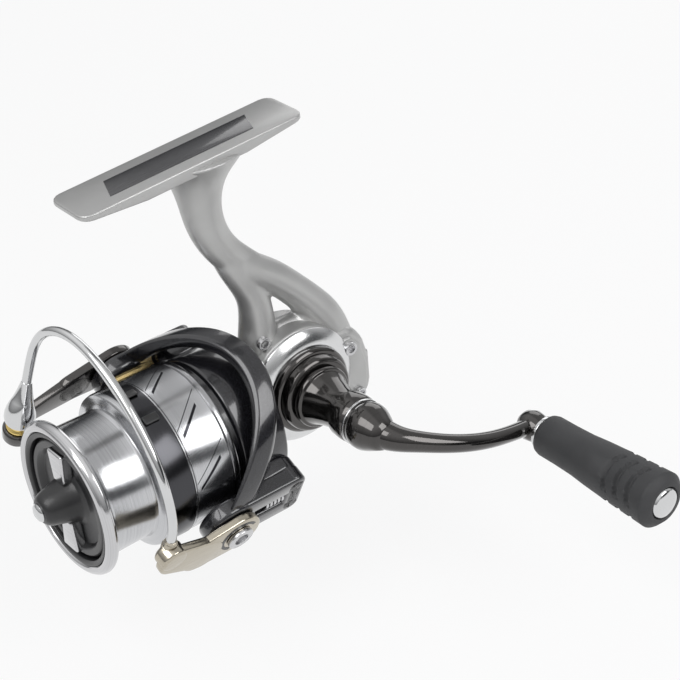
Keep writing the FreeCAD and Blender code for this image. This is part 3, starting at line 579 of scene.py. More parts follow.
    def softened(self, width: float, segments: int = 3, limit: float = 28.0) -> "Form":
        """Rounds every edge that is sharper than a limit in degrees."""
        sharp = [
            edge for edge in self.mesh.edges
            if len(edge.link_faces) == 2 and edge.calc_face_angle(0.0) > math.radians(limit)
        ]
        bmesh.ops.bevel(
            self.mesh, geom=sharp, offset=width, segments=segments, profile=0.5,
            affect="EDGES", material=-1, clamp_overlap=True,
        )
        return self

    def moved(self, matrix: Matrix) -> "Form":
        """Places the form by a matrix."""
        bmesh.ops.transform(self.mesh, matrix=matrix, verts=self.mesh.verts[:])
        return self

    def stretched(self, scale: Place, centre: Place = (0.0, 0.0, 0.0)) -> "Form":
        """Scales the form about a point."""
        space = Matrix.Translation(-Vector(centre))
        bmesh.ops.scale(self.mesh, vec=scale, space=space, verts=self.mesh.verts[:])
        return self

    def joined(self, *others: "Form") -> "Form":
        """Takes in other forms' geometry."""
        for other in others:
            spare = bpy.data.meshes.new("spare")
            other.mesh.to_mesh(spare)
            self.mesh.from_mesh(spare)
            bpy.data.meshes.remove(spare)
            other.mesh.free()
        return self

    def publish(
        self, name: str, body: Body, slot: str, nodes: tuple[str, ...] = (), smooth: float = 32.0,
        finish: Finish | None = None,
    ) -> bpy.types.Object:
        """Makes the finished object.

        Args:
            name: The piece's name.
            body: The body that it moves with.
            slot: The record's slot that it belongs to.
            nodes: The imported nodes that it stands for.
            smooth: Edges sharper than this many degrees stay sharp.
            finish: Its finish, where that isn't its slot's.

        Returns:
            The object, which rides on its body.
        """
        bmesh.ops.scale(self.mesh, vec=(MM,) * 3, verts=self.mesh.verts[:])
        mesh = bpy.data.meshes.new(name)
        self.mesh.to_mesh(mesh)
        self.mesh.free()
        mesh.polygons.foreach_set("use_smooth", [True] * len(mesh.polygons))
        mesh.set_sharp_from_angle(angle=math.radians(smooth))
        thing = bpy.data.objects.new(name, mesh)
        bpy.context.scene.collection.objects.link(thing)
        mesh.materials.append(material_of(finish or SLOT_FINISHES[slot]))
        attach(thing, body.value)
        if nodes:
            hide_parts(*nodes)
        LOG.info("%s: %d faces, rides on %s", name, len(mesh.polygons), body.value)
        return thing


def off(base: Point, *steps: Point) -> list[Point]:
    """Gives an outline's points by their offsets from a base point."""
    return [(base[0] + along, base[1] + away) for along, away in steps]


def socket_screw(centre: Place, radius: float, height: float, low: float) -> Form:
    """Makes a screw head that stands across, with a six-sided socket in it.

    Args:
        centre: A point on the screw's line.
        radius: The head's radius.
        height: The head's height.
        low: Where the head starts.

    Returns:
        The head as a form.
    """
    deep, key, top = low + height * 0.3, radius * 0.5, low + height
    mouth = (top, key + 0.15)
    axle = Axle(Line.ACROSS, centre)
    head = Form.turned([(low, 0), (low, radius), (top, radius), mouth], axle, steps=36)
    socket = Form.turned([mouth, (deep, key), (deep, 0)], axle, steps=6)
    return head.softened(0.2, 2, 50).joined(socket)


@dataclass
class Casting:
    """The foot, the stem with its two legs, and the gear case."""

    half_length: float = 34.6
    width: float = 16.2
    thickness: float = 3.4
    tip_thickness: float = 1.5
    thick_share: float = 0.45
    corner: float = 3.2
    inlay_half: float = 22.3
    inlay_width: float = 8.0
    inlay_slant: float = 1.5
    inlay_deep: float = 0.8
    inlay_proud: float = 0.14
    skin_grain: float = 0.45
    skin_passes: int = 14
    case_radius: float = 17.4
    case_left: float = -10.4
    case_right: float = 7.6
    tail_end: float = -50.8
    boss_end: float = -4.5
    boss_radius: float = 10.5

    def build(self) -> None:
        """Builds the casting, its stem and the foot's strip."""
        casting = self.foot().joined(self.case(), self.tail(), self.boss())
        casting.publish("reel_casting", Body.CASE, "case_silver", ("housing",), 40)
        self.flow_together(self.stem().publish("reel_stem", Body.CASE, "case_silver"))
        self.inlay().publish("foot_strip", Body.CASE, "inlay_dark", ("foot_inlay",))

    def flow_together(self, thing: bpy.types.Object) -> None:
        """Runs a piece's crossing tubes into one smooth skin."""
        skin = thing.modifiers.new("one_skin", "REMESH")
        skin.mode = "VOXEL"
        skin.voxel_size = self.skin_grain * MM
        skin.use_smooth_shade = True
        ease = thing.modifiers.new("eased", "SMOOTH")
        ease.factor = 0.5
        ease.iterations = self.skin_passes

    def foot(self) -> Form:
        """Makes the blade, thin at its ends and round at its corners."""
        half, thick, thin, wide = self.half_length, self.thickness, self.tip_thickness, self.width / 2
        belly = half * self.thick_share
        side = [(-half, 0), (half, 0), (half, -thin), (belly, -thick), (-belly, -thick), (-half, -thin)]
        blade = Form.slab(side, -wide, wide)
        upright = [
            edge for edge in blade.mesh.edges
            if all(abs(abs(vert.co.x) - half) < 0.01 for vert in edge.verts)
            and (edge.verts[0].co - edge.verts[1].co).xy.length < 0.01
        ]
        bmesh.ops.bevel(
            blade.mesh, geom=upright, offset=self.corner, segments=4, profile=0.5, affect="EDGES", material=-1
        )
        return blade.softened(0.45, 3, 50).moved(FOOT_PLACE)

    def inlay(self) -> Form:
        """Makes the dark strip that lies in the blade's top, slanted at its ends."""
        half, wide, deep, proud = self.inlay_half, self.inlay_width / 2, -self.inlay_deep, self.inlay_proud
        strip = Form.slab([(-half, deep), (half, deep), (half, proud), (-half, proud)], -wide, wide)
        for vert in strip.mesh.verts:
            vert.co.x += math.copysign(self.inlay_slant, vert.co.y)
        return strip.softened(0.12, 2, 40).moved(FOOT_PLACE)

    def limb(self, route: list[Place], flatness: float, sides: int = 10) -> Form:
        """Runs one limb of the stem.

        Args:
            route: Forward places, heights and radii.
            flatness: The limb's width across for each unit of its depth.
            sides: How finely its section is rounded.

        Returns:
            The limb.
        """
        round_limb = Form.tube([(x, 0, z, radius) for x, z, radius in route], sides=sides)
        return round_limb.stretched((1, flatness, 1))

    def stem(self) -> Form:
        """Makes the curved stem, the two legs that part round the window, and the web below it."""
        trunk = [
            (-5, -1.4, 14), (-5, -3, 12.6), (-4.6, -7, 8.6), (-4.2, -14, 6.2), (-4.6, -21, 5.6),
            (-7, -28, 5.1), (-10.6, -33.5, 4.9), (-15, -38.4, 5), (-19.5, -43, 5), (-24, -47.5, 4.4),
        ]
        front = [
            (-6.5, -27, 2.5), (-9.4, -33.5, 3.9), (-12.4, -39.5, 4.3), (-15.6, -45, 4.5), (-18, -51, 4.8),
            (-17.8, -60, 5.6), (-16.8, -70, 6.5), (-17, -77, 6.6),
        ]
        rear = [
            (-10.6, -33.8, 2.8), (-15.2, -38.6, 4.4), (-20.3, -43, 4.9), (-25.4, -47, 4.8),
            (-31.2, -53.2, 4.7), (-37, -60.2, 5.2), (-41.6, -68.5, 6.6), (-42, -78, 7.6),
        ]
        web = [(-17, -65.2, 4.4), (-24, -64.6, 4.6), (-31, -64.8, 4.8), (-38, -67, 5)]
        legs = self.limb(front, 0.86), self.limb(rear, 1.02), self.limb(web, 0.8, 8)
        return self.limb(trunk, 0.74, 12).joined(*legs)

    def case(self) -> Form:
        """Makes the round drum that holds the drive gear."""
        left, right, radius = self.case_left, self.case_right, self.case_radius
        profile = [(right, 0), (right, radius), *off((left, radius), (5, 0), (2, -1.6), (0, -6)), (left, 0)]
        return Form.turned(profile, DRIVE).softened(0.8, 3, 25)

    def tail(self) -> Form:
        """Makes the rounded rear of the case."""
        shaft, end, front = SHAFT_LINE.z, self.tail_end, DRIVE_LINE.x
        outline = [
            (front, shaft - 11.4), (-38, shaft - 13.4), (-46.5, shaft - 11.8), (end, shaft - 6.5),
            (end - 0.3, shaft + 3), (-49, shaft + 11), (-45, shaft + 15.6), (front, shaft + 18),
        ]
        return Form.slab(outline, self.case_left + 0.6, self.case_right).softened(2.6, 4, 20)

    def boss(self) -> Form:
        """Makes the round boss that the rotor turns on."""
        end, wide = self.boss_end, self.boss_radius
        bore, floor = wide - 1.6, end - 1.5
        profile = [(-30, 0), (-24, 9), (-13.4, wide), (end, wide), (end, bore), (floor, bore), (floor, 0)]
        return Form.turned(profile, SHAFT).softened(0.3, 2, 30)


@dataclass
class Covers:
    """The side cover, its screws, the dark collar and the trim round the case."""

    case_radius: float = 17.4
    right: float = 7.6
    rise: float = 10.6
    collar_radius: float = 12.9
    collar_end: float = 15.7
    neck: float = 10.0
    shaft_hole: float = 3.0
    trim_half: float = 5.4

    def build(self) -> None:
        """Builds every cover."""
        self.dome().publish("cover_dome", Body.CASE, "cover_satin", ("side_cover",))
        self.tail_plate().publish("tail_plate", Body.CASE, "case_silver", ("tail_cover",))
        self.collar().publish("drive_ring", Body.CASE, "trim_dark", ("drive_collar",))
        self.screws().publish("case_screws", Body.CASE, "steel", ("cover_screws",))
        self.rear().publish("rear_trim", Body.CASE, "case_silver", ("rear_cap",))
        left = Form.node("left_screw_cap").softened(0.2, 2)
        left.publish("left_cap", Body.CASE, "trim_dark", ("left_screw_cap",))

    def dome(self) -> Form:
        """Turns the domed side cover, which meets the collar at its middle."""
        right, rise, radius, collar = self.right, self.rise, self.case_radius, self.collar_radius
        bulge = (radius + collar) / 2 + 0.9
        profile = [
            (right, 0), (right, radius - 0.1), (right + 0.7, radius), (right + 1.7, bulge),
            *off((rise, collar), (-0.5, 1.6), (-0.05, 0.4), (0, 0)), (rise, 0),
        ]
        return Form.turned(profile, DRIVE).softened(0.35, 3, 18)

    def collar(self) -> Form:
        """Makes the stepped dark collar round the drive shaft."""
        start, end, hole = self.rise, self.collar_end, self.shaft_hole
        wide, neck = self.collar_radius, self.neck
        profile = [
            (start, hole), *off((start, wide), (0, -0.2), (1.6, 0), (2.2, -0.7), (2.5, -2.2)),
            (start + 2.6, neck + 1.6), (end - 0.5, neck + 1.1), (end, neck + 0.4), (end, hole),
        ]
        return Form.turned(profile, DRIVE, True).softened(0.16, 2, 25)

    def tail_plate(self) -> Form:
        """Makes the cover's tail, which follows the rear of the case."""
        shaft, front = SHAFT_LINE.z, DRIVE_LINE.x - 12
        outline = [
            (front, shaft - 10.6), *off((0, shaft), (-40, -11.6), (-45, -9.9), (-48.2, -5.6), (-48.6, 2.6),
            (-46.8, 9.6), (-43.6, 13.4)), (front, shaft + 13.8),
        ]
        return Form.slab(outline, self.right - 0.6, self.right + 1.0).softened(0.7, 3, 20)

    def screws(self) -> Form:
        """Makes the three screws that hold the cover."""
        shaft, face = SHAFT_LINE.z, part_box("cover_screws")[1][1] / MM
        upper = socket_screw((-15.9, 0, shaft + 22.2), 1.9, 1.7, 4.2)
        rear = socket_screw((-42.6, 0, shaft + 10.2), 2.0, 1.2, face - 1.3)
        tail = socket_screw((-45.0, 0, shaft - 6.0), 1.7, 1.1, face - 1.2)
        return upper.joined(rear, tail)

    def rear(self) -> Form:
        """Makes the rounded trim over the end of the case."""
        low, high = (Vector(corner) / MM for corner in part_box("rear_cap"))
        middle, half = SHAFT_LINE.z - 1.0, self.trim_half
        first, last = (low.x + 5.1, low.y + 2.2, middle - half), (high.x + 6.2, high.y - 2.0, middle + half)
        return Form.box(first, last).softened(0.85, 4, 30)


@dataclass
class Crank:
    """The handle's cone, its curved arm and the eye that carries the knob."""

    start: float = 16.1
    end: float = 32.2
    root: float = 9.2
    tip: float = 7.0
    shaft_hole: float = 2.7
    eye_radius: float = 4.6
    eye_at: float = 51.0
    bow: float = 54.5
    knob_start: float = 57.0

    def build(self) -> None:
        """Builds the cone and the arm, with a bright ring at each."""
        self.cone().publish("drive_cone", Body.HANDLE, "handle_dark", ("handle_cone",))
        self.arm().publish("crank_arm", Body.HANDLE, "handle_dark", ("handle_arm",), 50)
        seat, wide = self.end + 1.3, self.tip - 0.2
        band = Form.turned([(seat, 5), (seat, wide), (seat + 0.8, wide), (seat + 0.8, 5)], DRIVE, True)
        band.softened(0.2, 2).publish("cone_band", Body.HANDLE, "handle_dark", finish=BRIGHT)
        first = self.knob_start - 1.5
        rim = Form.turned([(first, 2), (first, 4.9), (first + 1.2, 4.9), (first + 1.2, 2)], KNOB, True)
        rim.softened(0.3, 3).publish("eye_collar", Body.HANDLE, "chrome")

    def cone(self) -> Form:
        """Turns the cone that screws into the drive shaft, waisted before its end."""
        start, end, root, tip, hole = self.start, self.end, self.root, self.tip, self.shaft_hole
        waist = tip - 0.9
        profile = [
            (start, hole), *off((start, root), (0, -0.2), (0.9, 0), (1.6, -0.3), (1.8, -1.1)),
            (start + 4.5, waist + 0.9), (start + 8.5, waist), (end - 4.4, waist + 0.1),
            (end - 4.2, waist + 0.7), *off((end, tip), (-1.2, 0), (0.2, -0.1), (1.3, -0.6)),
            (end + 1.3, hole),
        ]
        return Form.turned(profile, DRIVE, True).softened(0.2, 3, 22)

    def along(self, far: float, height: float, radius: float) -> tuple[float, float, float, float]:
        """Places a point of the arm.

        Args:
            far: Its distance from the drive shaft's line towards the knob's.
            height: Its distance from the reel's middle.
            radius: The arm's radius there.

        Returns:
            The place and the radius.
        """
        hub, eye = DRIVE_LINE, KNOB_LINE
        share = far / math.hypot(eye.x - hub.x, eye.z - hub.z)
        return (hub.x + (eye.x - hub.x) * share, height, hub.z + (eye.z - hub.z) * share, radius)

    def arm(self) -> Form:
        """Makes the bulb, the tapering curved arm and the eye."""
        base, bow, eye, stop = self.end + 2.0, self.bow, self.eye_at, self.knob_start - 0.6
        bulb = [
            *off((base, 0), (0, 0), (0, 5.9), (0.9, 6.6), (2.4, 6.9), (4.2, 6.7), (6.2, 5.9), (8.2, 4.9),
            (10.2, 3.8), (11, 0)),
        ]
        route = [
            self.along(0, base + 2, 4.4), self.along(0.3, base + 7, 4.5), self.along(2.2, base + 12, 3.6),
            self.along(7.5, bow - 5.2, 2.9), self.along(16, bow - 1, 2.6), self.along(28, bow + 1, 2.4),
            self.along(40, eye + 2.4, 2.3), self.along(50.3, eye - 0.2, 2.5),
        ]
        ball = [
            *off((eye, 0), (-4.6, 0), (-4.2, 1.9), (-2.6, 3.7)), (eye, self.eye_radius), (eye + 2.4, 4.2),
            (eye + 3.9, 3.5), (stop, 3.5), (stop, 0),
        ]
        return Form.turned(bulb, DRIVE).joined(Form.tube(route, sides=10), Form.turned(ball, KNOB))


@dataclass
class Grip:
    """The waisted rubber knob with three rows of grooves, and its bright cap."""

    start: float = 57.0
    end: float = 102.6
    root: float = 6.2
    belly: float = 8.3
    pin_hole: float = 2.6
    cap_radius: float = 4.6
    grooves: int = 3
    groove_first: float = 6.6
    groove_gap: float = 4.4
    groove_depth: float = 1.2
    groove_half: float = 0.8
    groove_bend: float = 2.2
    groove_reach: float = 0.72
    groove_fade: float = 0.08
    groove_turn: float = 46.0

    def build(self) -> None:
        """Builds the grip and its cap."""
        self.grip().publish("rubber_grip", Body.KNOB, "grip_rubber", ("knob_grip",), 50)
        end, cap = self.end, self.cap_radius
        dome = [
            (end - 3.4, 0), *off((end, cap), (-3.4, 0), (-1.6, 0), (-0.8, -0.5), (-0.3, -1.7), (-0.05, -3)),
            (end, 0),
        ]
        form = Form.turned(dome, KNOB).softened(0.15, 2, 25)
        form.publish("bright_cap", Body.KNOB, "chrome", ("knob_cap",))

    def grip(self) -> Form:
        """Turns the grip and presses the grooves into it."""
        start, end, root, belly, cap = self.start, self.end, self.root, self.belly, self.cap_radius
        waist = [
            (start, self.pin_hole), *off((start, root), (0, -1), (0.5, -0.3), (1.6, 0), (8, 0.05),
            (14, 0.25), (20, 0.8)), (start + 26, belly - 0.9),
        ]
        grooved = [(start + 27.5 + 0.4 * step, belly - 0.75 + 0.018 * step) for step in range(38)]
        close = [
            (end - 2.8, belly - 0.5), (end - 2, belly - 1.4), *off((end, cap), (-1.3, 1.5), (-1.2, 0.3),
            (-1.6, 0.1), (-3, 0)), (end - 3, self.pin_hole),
        ]
        form = Form.turned(waist + grooved + close, KNOB, True, FINE_STEPS)
        for vert in form.mesh.verts:
            self.press(vert)
        return form.welded()

    def press(self, vert: bmesh.types.BMVert) -> None:
        """Moves one corner inwards where a groove lies."""
        away = Vector((vert.co.x - KNOB_LINE.x, 0, vert.co.z - KNOB_LINE.z))
        if away.length < self.root:
            return
        angle = (math.atan2(away.z, away.x) - math.radians(self.groove_turn)) * 3 / FULL_TURN
        turn = abs((angle + 0.5) % 1.0 - 0.5) * 2
        side = 1 - min(1.0, max(0.0, (turn - self.groove_reach) / self.groove_fade))
        depth = 0.0
        first = self.end - self.groove_first - self.groove_bend * (1 - turn * turn)
        for index in range(self.grooves):
            middle = first - self.groove_gap * index
            near = max(0.0, 1 - ((vert.co.y - middle) / self.groove_half) ** 2)
            depth = max(depth, self.groove_depth * near ** 0.5 * side)
        vert.co -= away.normalized() * depth


@dataclass
class RotorShell:
    """The rotor's cup, its arched band and its two arms."""

    rear: float = -9.4
    front: float = 18.0
    cup: float = 22.0
    drum: float = 20.4
    wall: float = 1.8
    inside: float = 24.3
    outside: float = 29.4
    pivot: float = 14.5
    half: float = 8.0
    hoop: float = 31.5
    hoop_back: float = 7.2

    def build(self) -> None:
        """Builds the shell as one piece, and its two pivot screws."""
        shell = self.cup_form().joined(self.band(), self.arm(1), self.arm(-1)).moved(ROTOR_PLACE)
        shell.publish("rotor_shell", Body.ROTOR, "rotor_gunmetal", ("rotor",), 38)
        screws = ((1, "near_pivot_screw", "holder_screw"), (-1, "far_pivot_screw", "arm_screw"))
        for side, name, node in screws:
            self.screw(side).moved(ROTOR_PLACE).publish(name, Body.ROTOR, "steel", (node,))

    def cup_form(self) -> Form:
        """Turns the cup and the drum that the spool's skirt covers."""
        rear, cup, drum, front, wall = self.rear, self.cup, self.drum, self.front, self.wall
        profile = [
            (rear, cup - wall), (rear + 0.1, cup - 0.5), (rear + 1, cup), (4.4, cup), (5, cup - 0.4),
            (5, drum), (front, drum), (front, drum - wall), (3, drum - wall), (3, 2.9), (-3, 2.9), (-3, 5.8),
            (0, 5.8), (0, cup - wall),
        ]
        return Form.turned(profile, Axle(Line.ALONG), True).softened(0.3, 2, 30)

    def band(self) -> Form:
        """Makes the arched band that runs from arm to arm over the top and below."""
        inner, outer = self.inside + 0.2, self.outside + 0.1
        centre = self.hoop - self.hoop_back
        profile = [
            (-3.2, inner + 0.4), *off((0, outer), (-3.1, -0.9), (-2.3, 0), (2.2, -0.1), (3.4, -0.9)),
            *off((0, inner), (3.6, 1.6), (2.9, 0.6), (-1, 0.2)),
        ]
        form = Form.turned(profile, Axle(Line.ALONG), True, FINE_STEPS).softened(0.3, 3, 20)
        for vert in form.mesh.verts:
            side = min(abs(vert.co.y), self.hoop - 1.0)
            back = centre - math.sqrt(self.hoop ** 2 - side ** 2) + 1.9
            vert.co.x = max(self.rear, vert.co.x * (1 + 0.5 * (side / outer) ** 2) + back)
        return form

    def arm(self, side: int) -> Form:
        """Makes one arm: a rounded plate with a window, joined to the cup at its root.

        Args:
            side: 1 for the holder's arm and -1 for the roller's.

        Returns:
            The arm.
        """
        low, high = sorted((self.inside * side, self.outside * side))
        rear, pivot, half = self.rear, self.pivot, self.half
        bars = [[(rear + 2.9, edge * 5.0, 2.9), (pivot - 4.6, edge * 4.8, 3.1)] for edge in (1, -1)]
        bars.append([(rear + 2.8, 4.6, 2.8), (rear + 2.8, -4.6, 2.8)])
        rails = [Form.hull(bar, low, high).softened(0.9, 4, 40) for bar in bars]
        hub = Axle(Line.ACROSS, (pivot, 0, 0))
        disc = Form.turned([(low, 0), (low, half), (high, half), (high, 0)], hub).softened(1.2, 4)
        inner = (self.cup - 1.5) * side
        heel = [(rear + 3.4, edge * 4.6, 3.4) for edge in (1, -1)]
        root = Form.hull(heel, *sorted((inner, self.outside * side))).softened(1.3, 4, 40)
        feet = [(rear + 4.4, 4.8, 3.4), (rear + 4.4, -4.8, 3.4), (1.6, 4.4, 3), (1.6, -4.4, 3)]
        link = Form.hull(feet, *sorted((inner, (self.inside + 0.6) * side))).softened(0.8, 3, 40)
        return disc.joined(*rails, root, link)

    def screw(self, side: int) -> Form:
        """Makes a pivot screw's head and shank, on the holder's side for 1 and the roller's for -1."""
        face = self.outside + 0.3 + 2.6
        form = socket_screw((self.pivot, 0, 0), 3.9, 1.3, face + 0.12)
        shank = [(self.inside, 0), (self.inside, 2.35), (face + 0.2, 2.35), (face + 0.2, 0)]
        form.joined(Form.turned(shank, Axle(Line.ACROSS, (self.pivot, 0, 0))))
        return form if side > 0 else form.stretched((1, -1, 1)).welded()


@dataclass
class Bail:
    """The holder, the arm, the roller's cover and the thick wire."""

    pivot: float = 14.5
    near: float = 29.7
    far: float = 32.3
    disc: float = 7.2
    tip_x: float = 36.5
    tip_z: float = 6.0
    roller_x: float = 46.0
    roller_off: float = 28.0
    roller_bore: float = 1.35
    wire: float = 1.35
    slot_sweep: float = 215.0
    slot_start: float = -60.0

    def build(self) -> None:
        """Builds the bail's pieces."""
        for form, name, body, slot, nodes, smooth in (
            (self.holder(), "wire_holder", Body.BAIL, "holder_champagne", ("bail_holder",), 40),
            # painted shade: a black sheet in place of the shade inside the holder's slot
            (self.slot(), "holder_slot_painted_shade", Body.BAIL, "clip_black", (), 32),
            (self.arm(), "roller_arm", Body.BAIL, "trim_dark", ("bail_arm",), 40),
            (self.cone(), "wire_cone", Body.BAIL, "chrome", ("roller_cone",), 50),
            (self.bow(), "bail_bow", Body.BAIL, "chrome", ("bail_wire",), 60),
            (self.roller(), "gold_roller", Body.ROLLER, "roller_gold", ("line_roller",), 32),
        ):
            form.moved(ROTOR_PLACE).publish(name, body, slot, nodes, smooth)

    def roller_axle(self) -> Axle:
        """Gives the line that the roller turns about."""
        return Axle(Line.UP, (self.roller_x, -self.roller_off, 0))

    def holder(self) -> Form:
        """Makes the near plate, with a rounded tip and a ferrule for the wire."""
        near, far, x, z = self.near, self.far, self.tip_x, self.tip_z
        plate = Form.hull([(self.pivot, 0.0, self.disc), (self.pivot + 12, -1.2, 6.0)], near, far)
        nose = Form.hull([(self.pivot + 11, -1.0, 6.0), (x - 0.8, z - 1.6, 5.0)], near, far + 0.2)
        tip_profile = [
            *off((near, 0), (-1.8, 0), (-1.8, 3.2), (-1, 4)), *off((far, 0), (0, 4), (0.5, 3.2), (0.5, 0)),
        ]
        tip = Form.turned(tip_profile, Axle(Line.ACROSS, (x, 0, z))).softened(0.3, 3, 25)
        ferrule_profile = [
            *off((z, 0), (-1, 0), (-1, 2.4), (3.4, 2.3), (3.6, 1.9), (5.2, 1.8), (5.4, 1.5), (6.2, 1.4),
            (6.2, 0)),
        ]
        socket = Axle(Line.UP, (x, near - 0.6, 0))
        ferrule = Form.turned(ferrule_profile, socket, steps=48).softened(0.15, 2, 25)
        return plate.softened(0.7, 4, 40).joined(nose.softened(0.8, 4, 40), tip, ferrule)

    def slot(self) -> Form:
        """Makes a black C-shaped sheet, painted shade that stands for a slot, running part of the way round the
        screw.
        """
        far = self.far
        profile = [*off((far, 0), (-0.3, 4.7), (-0.3, 5.9), (0.06, 5.8), (0.06, 4.8))]
        form = Form.turned(profile, Axle(Line.ACROSS), True, 60, math.radians(self.slot_sweep))
        turn = Matrix.Rotation(math.radians(self.slot_start), 4, "Y")
        return form.moved(Matrix.Translation((self.pivot, 0, 0)) @ turn)

    def arm(self) -> Form:
        """Makes the far plate and the lug that holds the roller's pin."""
        elbow = (-1.8, 5.0)
        lug = [(-9.2, 0), (-9, 3.2), (-8.2, 4.2), (-4.9, 4.3), (-4.5, 3.9), (-4.1, 3.9), (-4.1, 0)]
        upper = [(self.pivot, 0, self.disc), (self.pivot + 13, *elbow)]
        lower = [(self.pivot + 12, *elbow), (self.roller_x - 2, -6.6, 2.3)]
        plates = [Form.hull(discs, -self.far, -self.near).softened(0.5, 3, 40) for discs in (upper, lower)]
        boss = Form.turned(lug, self.roller_axle(), steps=64).softened(0.3, 3, 25)
        return plates[0].joined(plates[1], boss)

    def cone(self) -> Form:
        """Makes the smooth teardrop that leads the line from the wire to the roller."""
        x, y = self.roller_x, -self.roller_off
        route = [
            (x, y, 0.1, 4.3), (x, y, 1.4, 4.5), (x - 0.3, y - 0.5, 4.2, 3.9), (x - 1.6, y - 1.6, 8, 2.4),
            (x - 2.6, y - 2.6, 12.4, 1.5),
        ]
        return Form.tube(route, 3, 10)

    def bow(self) -> Form:
        """Bends the thick wire from the cone over the spool to the holder."""
        x, y = self.roller_x - 2.3, -self.roller_off - 2.3
        route = [
            (x, y, 11.2), (x - 2.2, y - 2.6, 18.5), (40.4, -34, 28.5), (38.2, -26.5, 39), (37.4, -12, 42.6),
            (37.1, 4, 40), (37, 18, 33.6), (36.8, 27.6, 23), (self.tip_x, self.near - 0.5, 14),
            (self.tip_x, self.near - 0.6, self.tip_z + 3),
        ]
        return Form.tube([(*place, self.wire) for place in route], sides=8)

    def roller(self) -> Form:
        """Turns the grooved roller."""
        profile = [
            (-3.8, self.roller_bore), (-3.8, 3.3), (-3.6, 3.5), (-3.2, 3.45), (-2.6, 2.8), (-1.6, 2.8),
            (-0.8, 3.45), (-0.5, 3.5), (-0.3, 3.3), (-0.3, self.roller_bore),
        ]
        return Form.turned(profile, self.roller_axle(), True, 64).softened(0.08, 2, 20)


@dataclass
class Spool:
    """The spool's skirt and barrel, its lip and the line clips."""

    rear: float = 7.4
    skirt: float = 22.7
    barrel: float = 18.6
    barrel_rear: float = 31.0
    lip: float = 50.0
    lip_depth: float = 3.6
    lip_radius: float = 22.5
    bore: float = 20.0
    floor: float = 34.0
    well: float = 13.0
    shaft_hole: float = 2.8
    bearing: float = 5.0

    def build(self) -> None:
        """Builds the spool's pieces."""
        self.body().publish("spool_body", Body.SPOOL, "spool_alloy", ("spool",), 35)
        self.rim().publish("spool_rim", Body.SPOOL, "chrome", ("spool_lip",), 40, TURNED)
        face, bore = self.lip - 1.0, self.bore
        liner = [*off((face, bore), (-3.6, -2.2), (-0.1, -2), (0.3, -1.2), (0.3, -0.45), (-3.6, -0.6))]
        form = Form.turned(liner, SHAFT, True).softened(0.15, 2, 30)
        form.publish("lip_liner", Body.SPOOL, "knob_black")
        clips = Form.node("line_clips").softened(0.3, 3, 40)
        clips.publish("black_clips", Body.SPOOL, "clip_black", ("line_clips",))

    def body(self) -> Form:
        """Turns the skirt, the barrel and the well that holds the drag washers."""
        rear, skirt, barrel, start, floor = self.rear, self.skirt, self.barrel, self.barrel_rear, self.floor
        lip, face = self.lip - self.lip_depth, self.lip - 5.4
        well, hole, seat = self.well, self.shaft_hole, self.bearing
        profile = [
            *off((rear, skirt), (0, -1), (0.1, -0.2), (0.7, 0), (1.9, 0), (2.1, -0.25)), (22, skirt - 0.35),
            (22.2, skirt - 0.1), *off((start, skirt), (-1.6, -0.2), (-0.4, -0.5), (0, -1.2)),
            *off((start, barrel), (0.3, 1.4), (0.9, 0.3), (2, 0)), *off((lip, barrel), (-2, 0.2),
            (-0.4, 0.6), (0, 1.2)), (lip, self.bore - 1), (face, self.bore - 1.9), (face, well),
            (floor, well), (floor, hole), (floor - 9, hole), (floor - 9, seat), (floor - 2, seat),
            (floor - 2, barrel - 1.4), (start - 1.6, barrel - 1.4), (start - 1.6, skirt - 1),
        ]
        return Form.turned(profile, SHAFT, True, SMOOTH_STEPS).softened(0.12, 2, 30)

    def rim(self) -> Form:
        """Turns the bright front lip."""
        lip, wide, bore, start = self.lip, self.lip_radius, self.bore - 0.4, self.lip - self.lip_depth
        profile = [
            (start, bore), *off((start, wide), (0, -0.9), (0.4, -0.3), (1.2, 0)), *off((lip, wide),
            (-1.3, -0.25), (-0.5, -0.9), (-0.1, -1.7)), (lip - 0.3, bore + 0.5), (lip - 0.9, bore),
        ]
        return Form.turned(profile, SHAFT, True, SMOOTH_STEPS).softened(0.15, 2, 20)


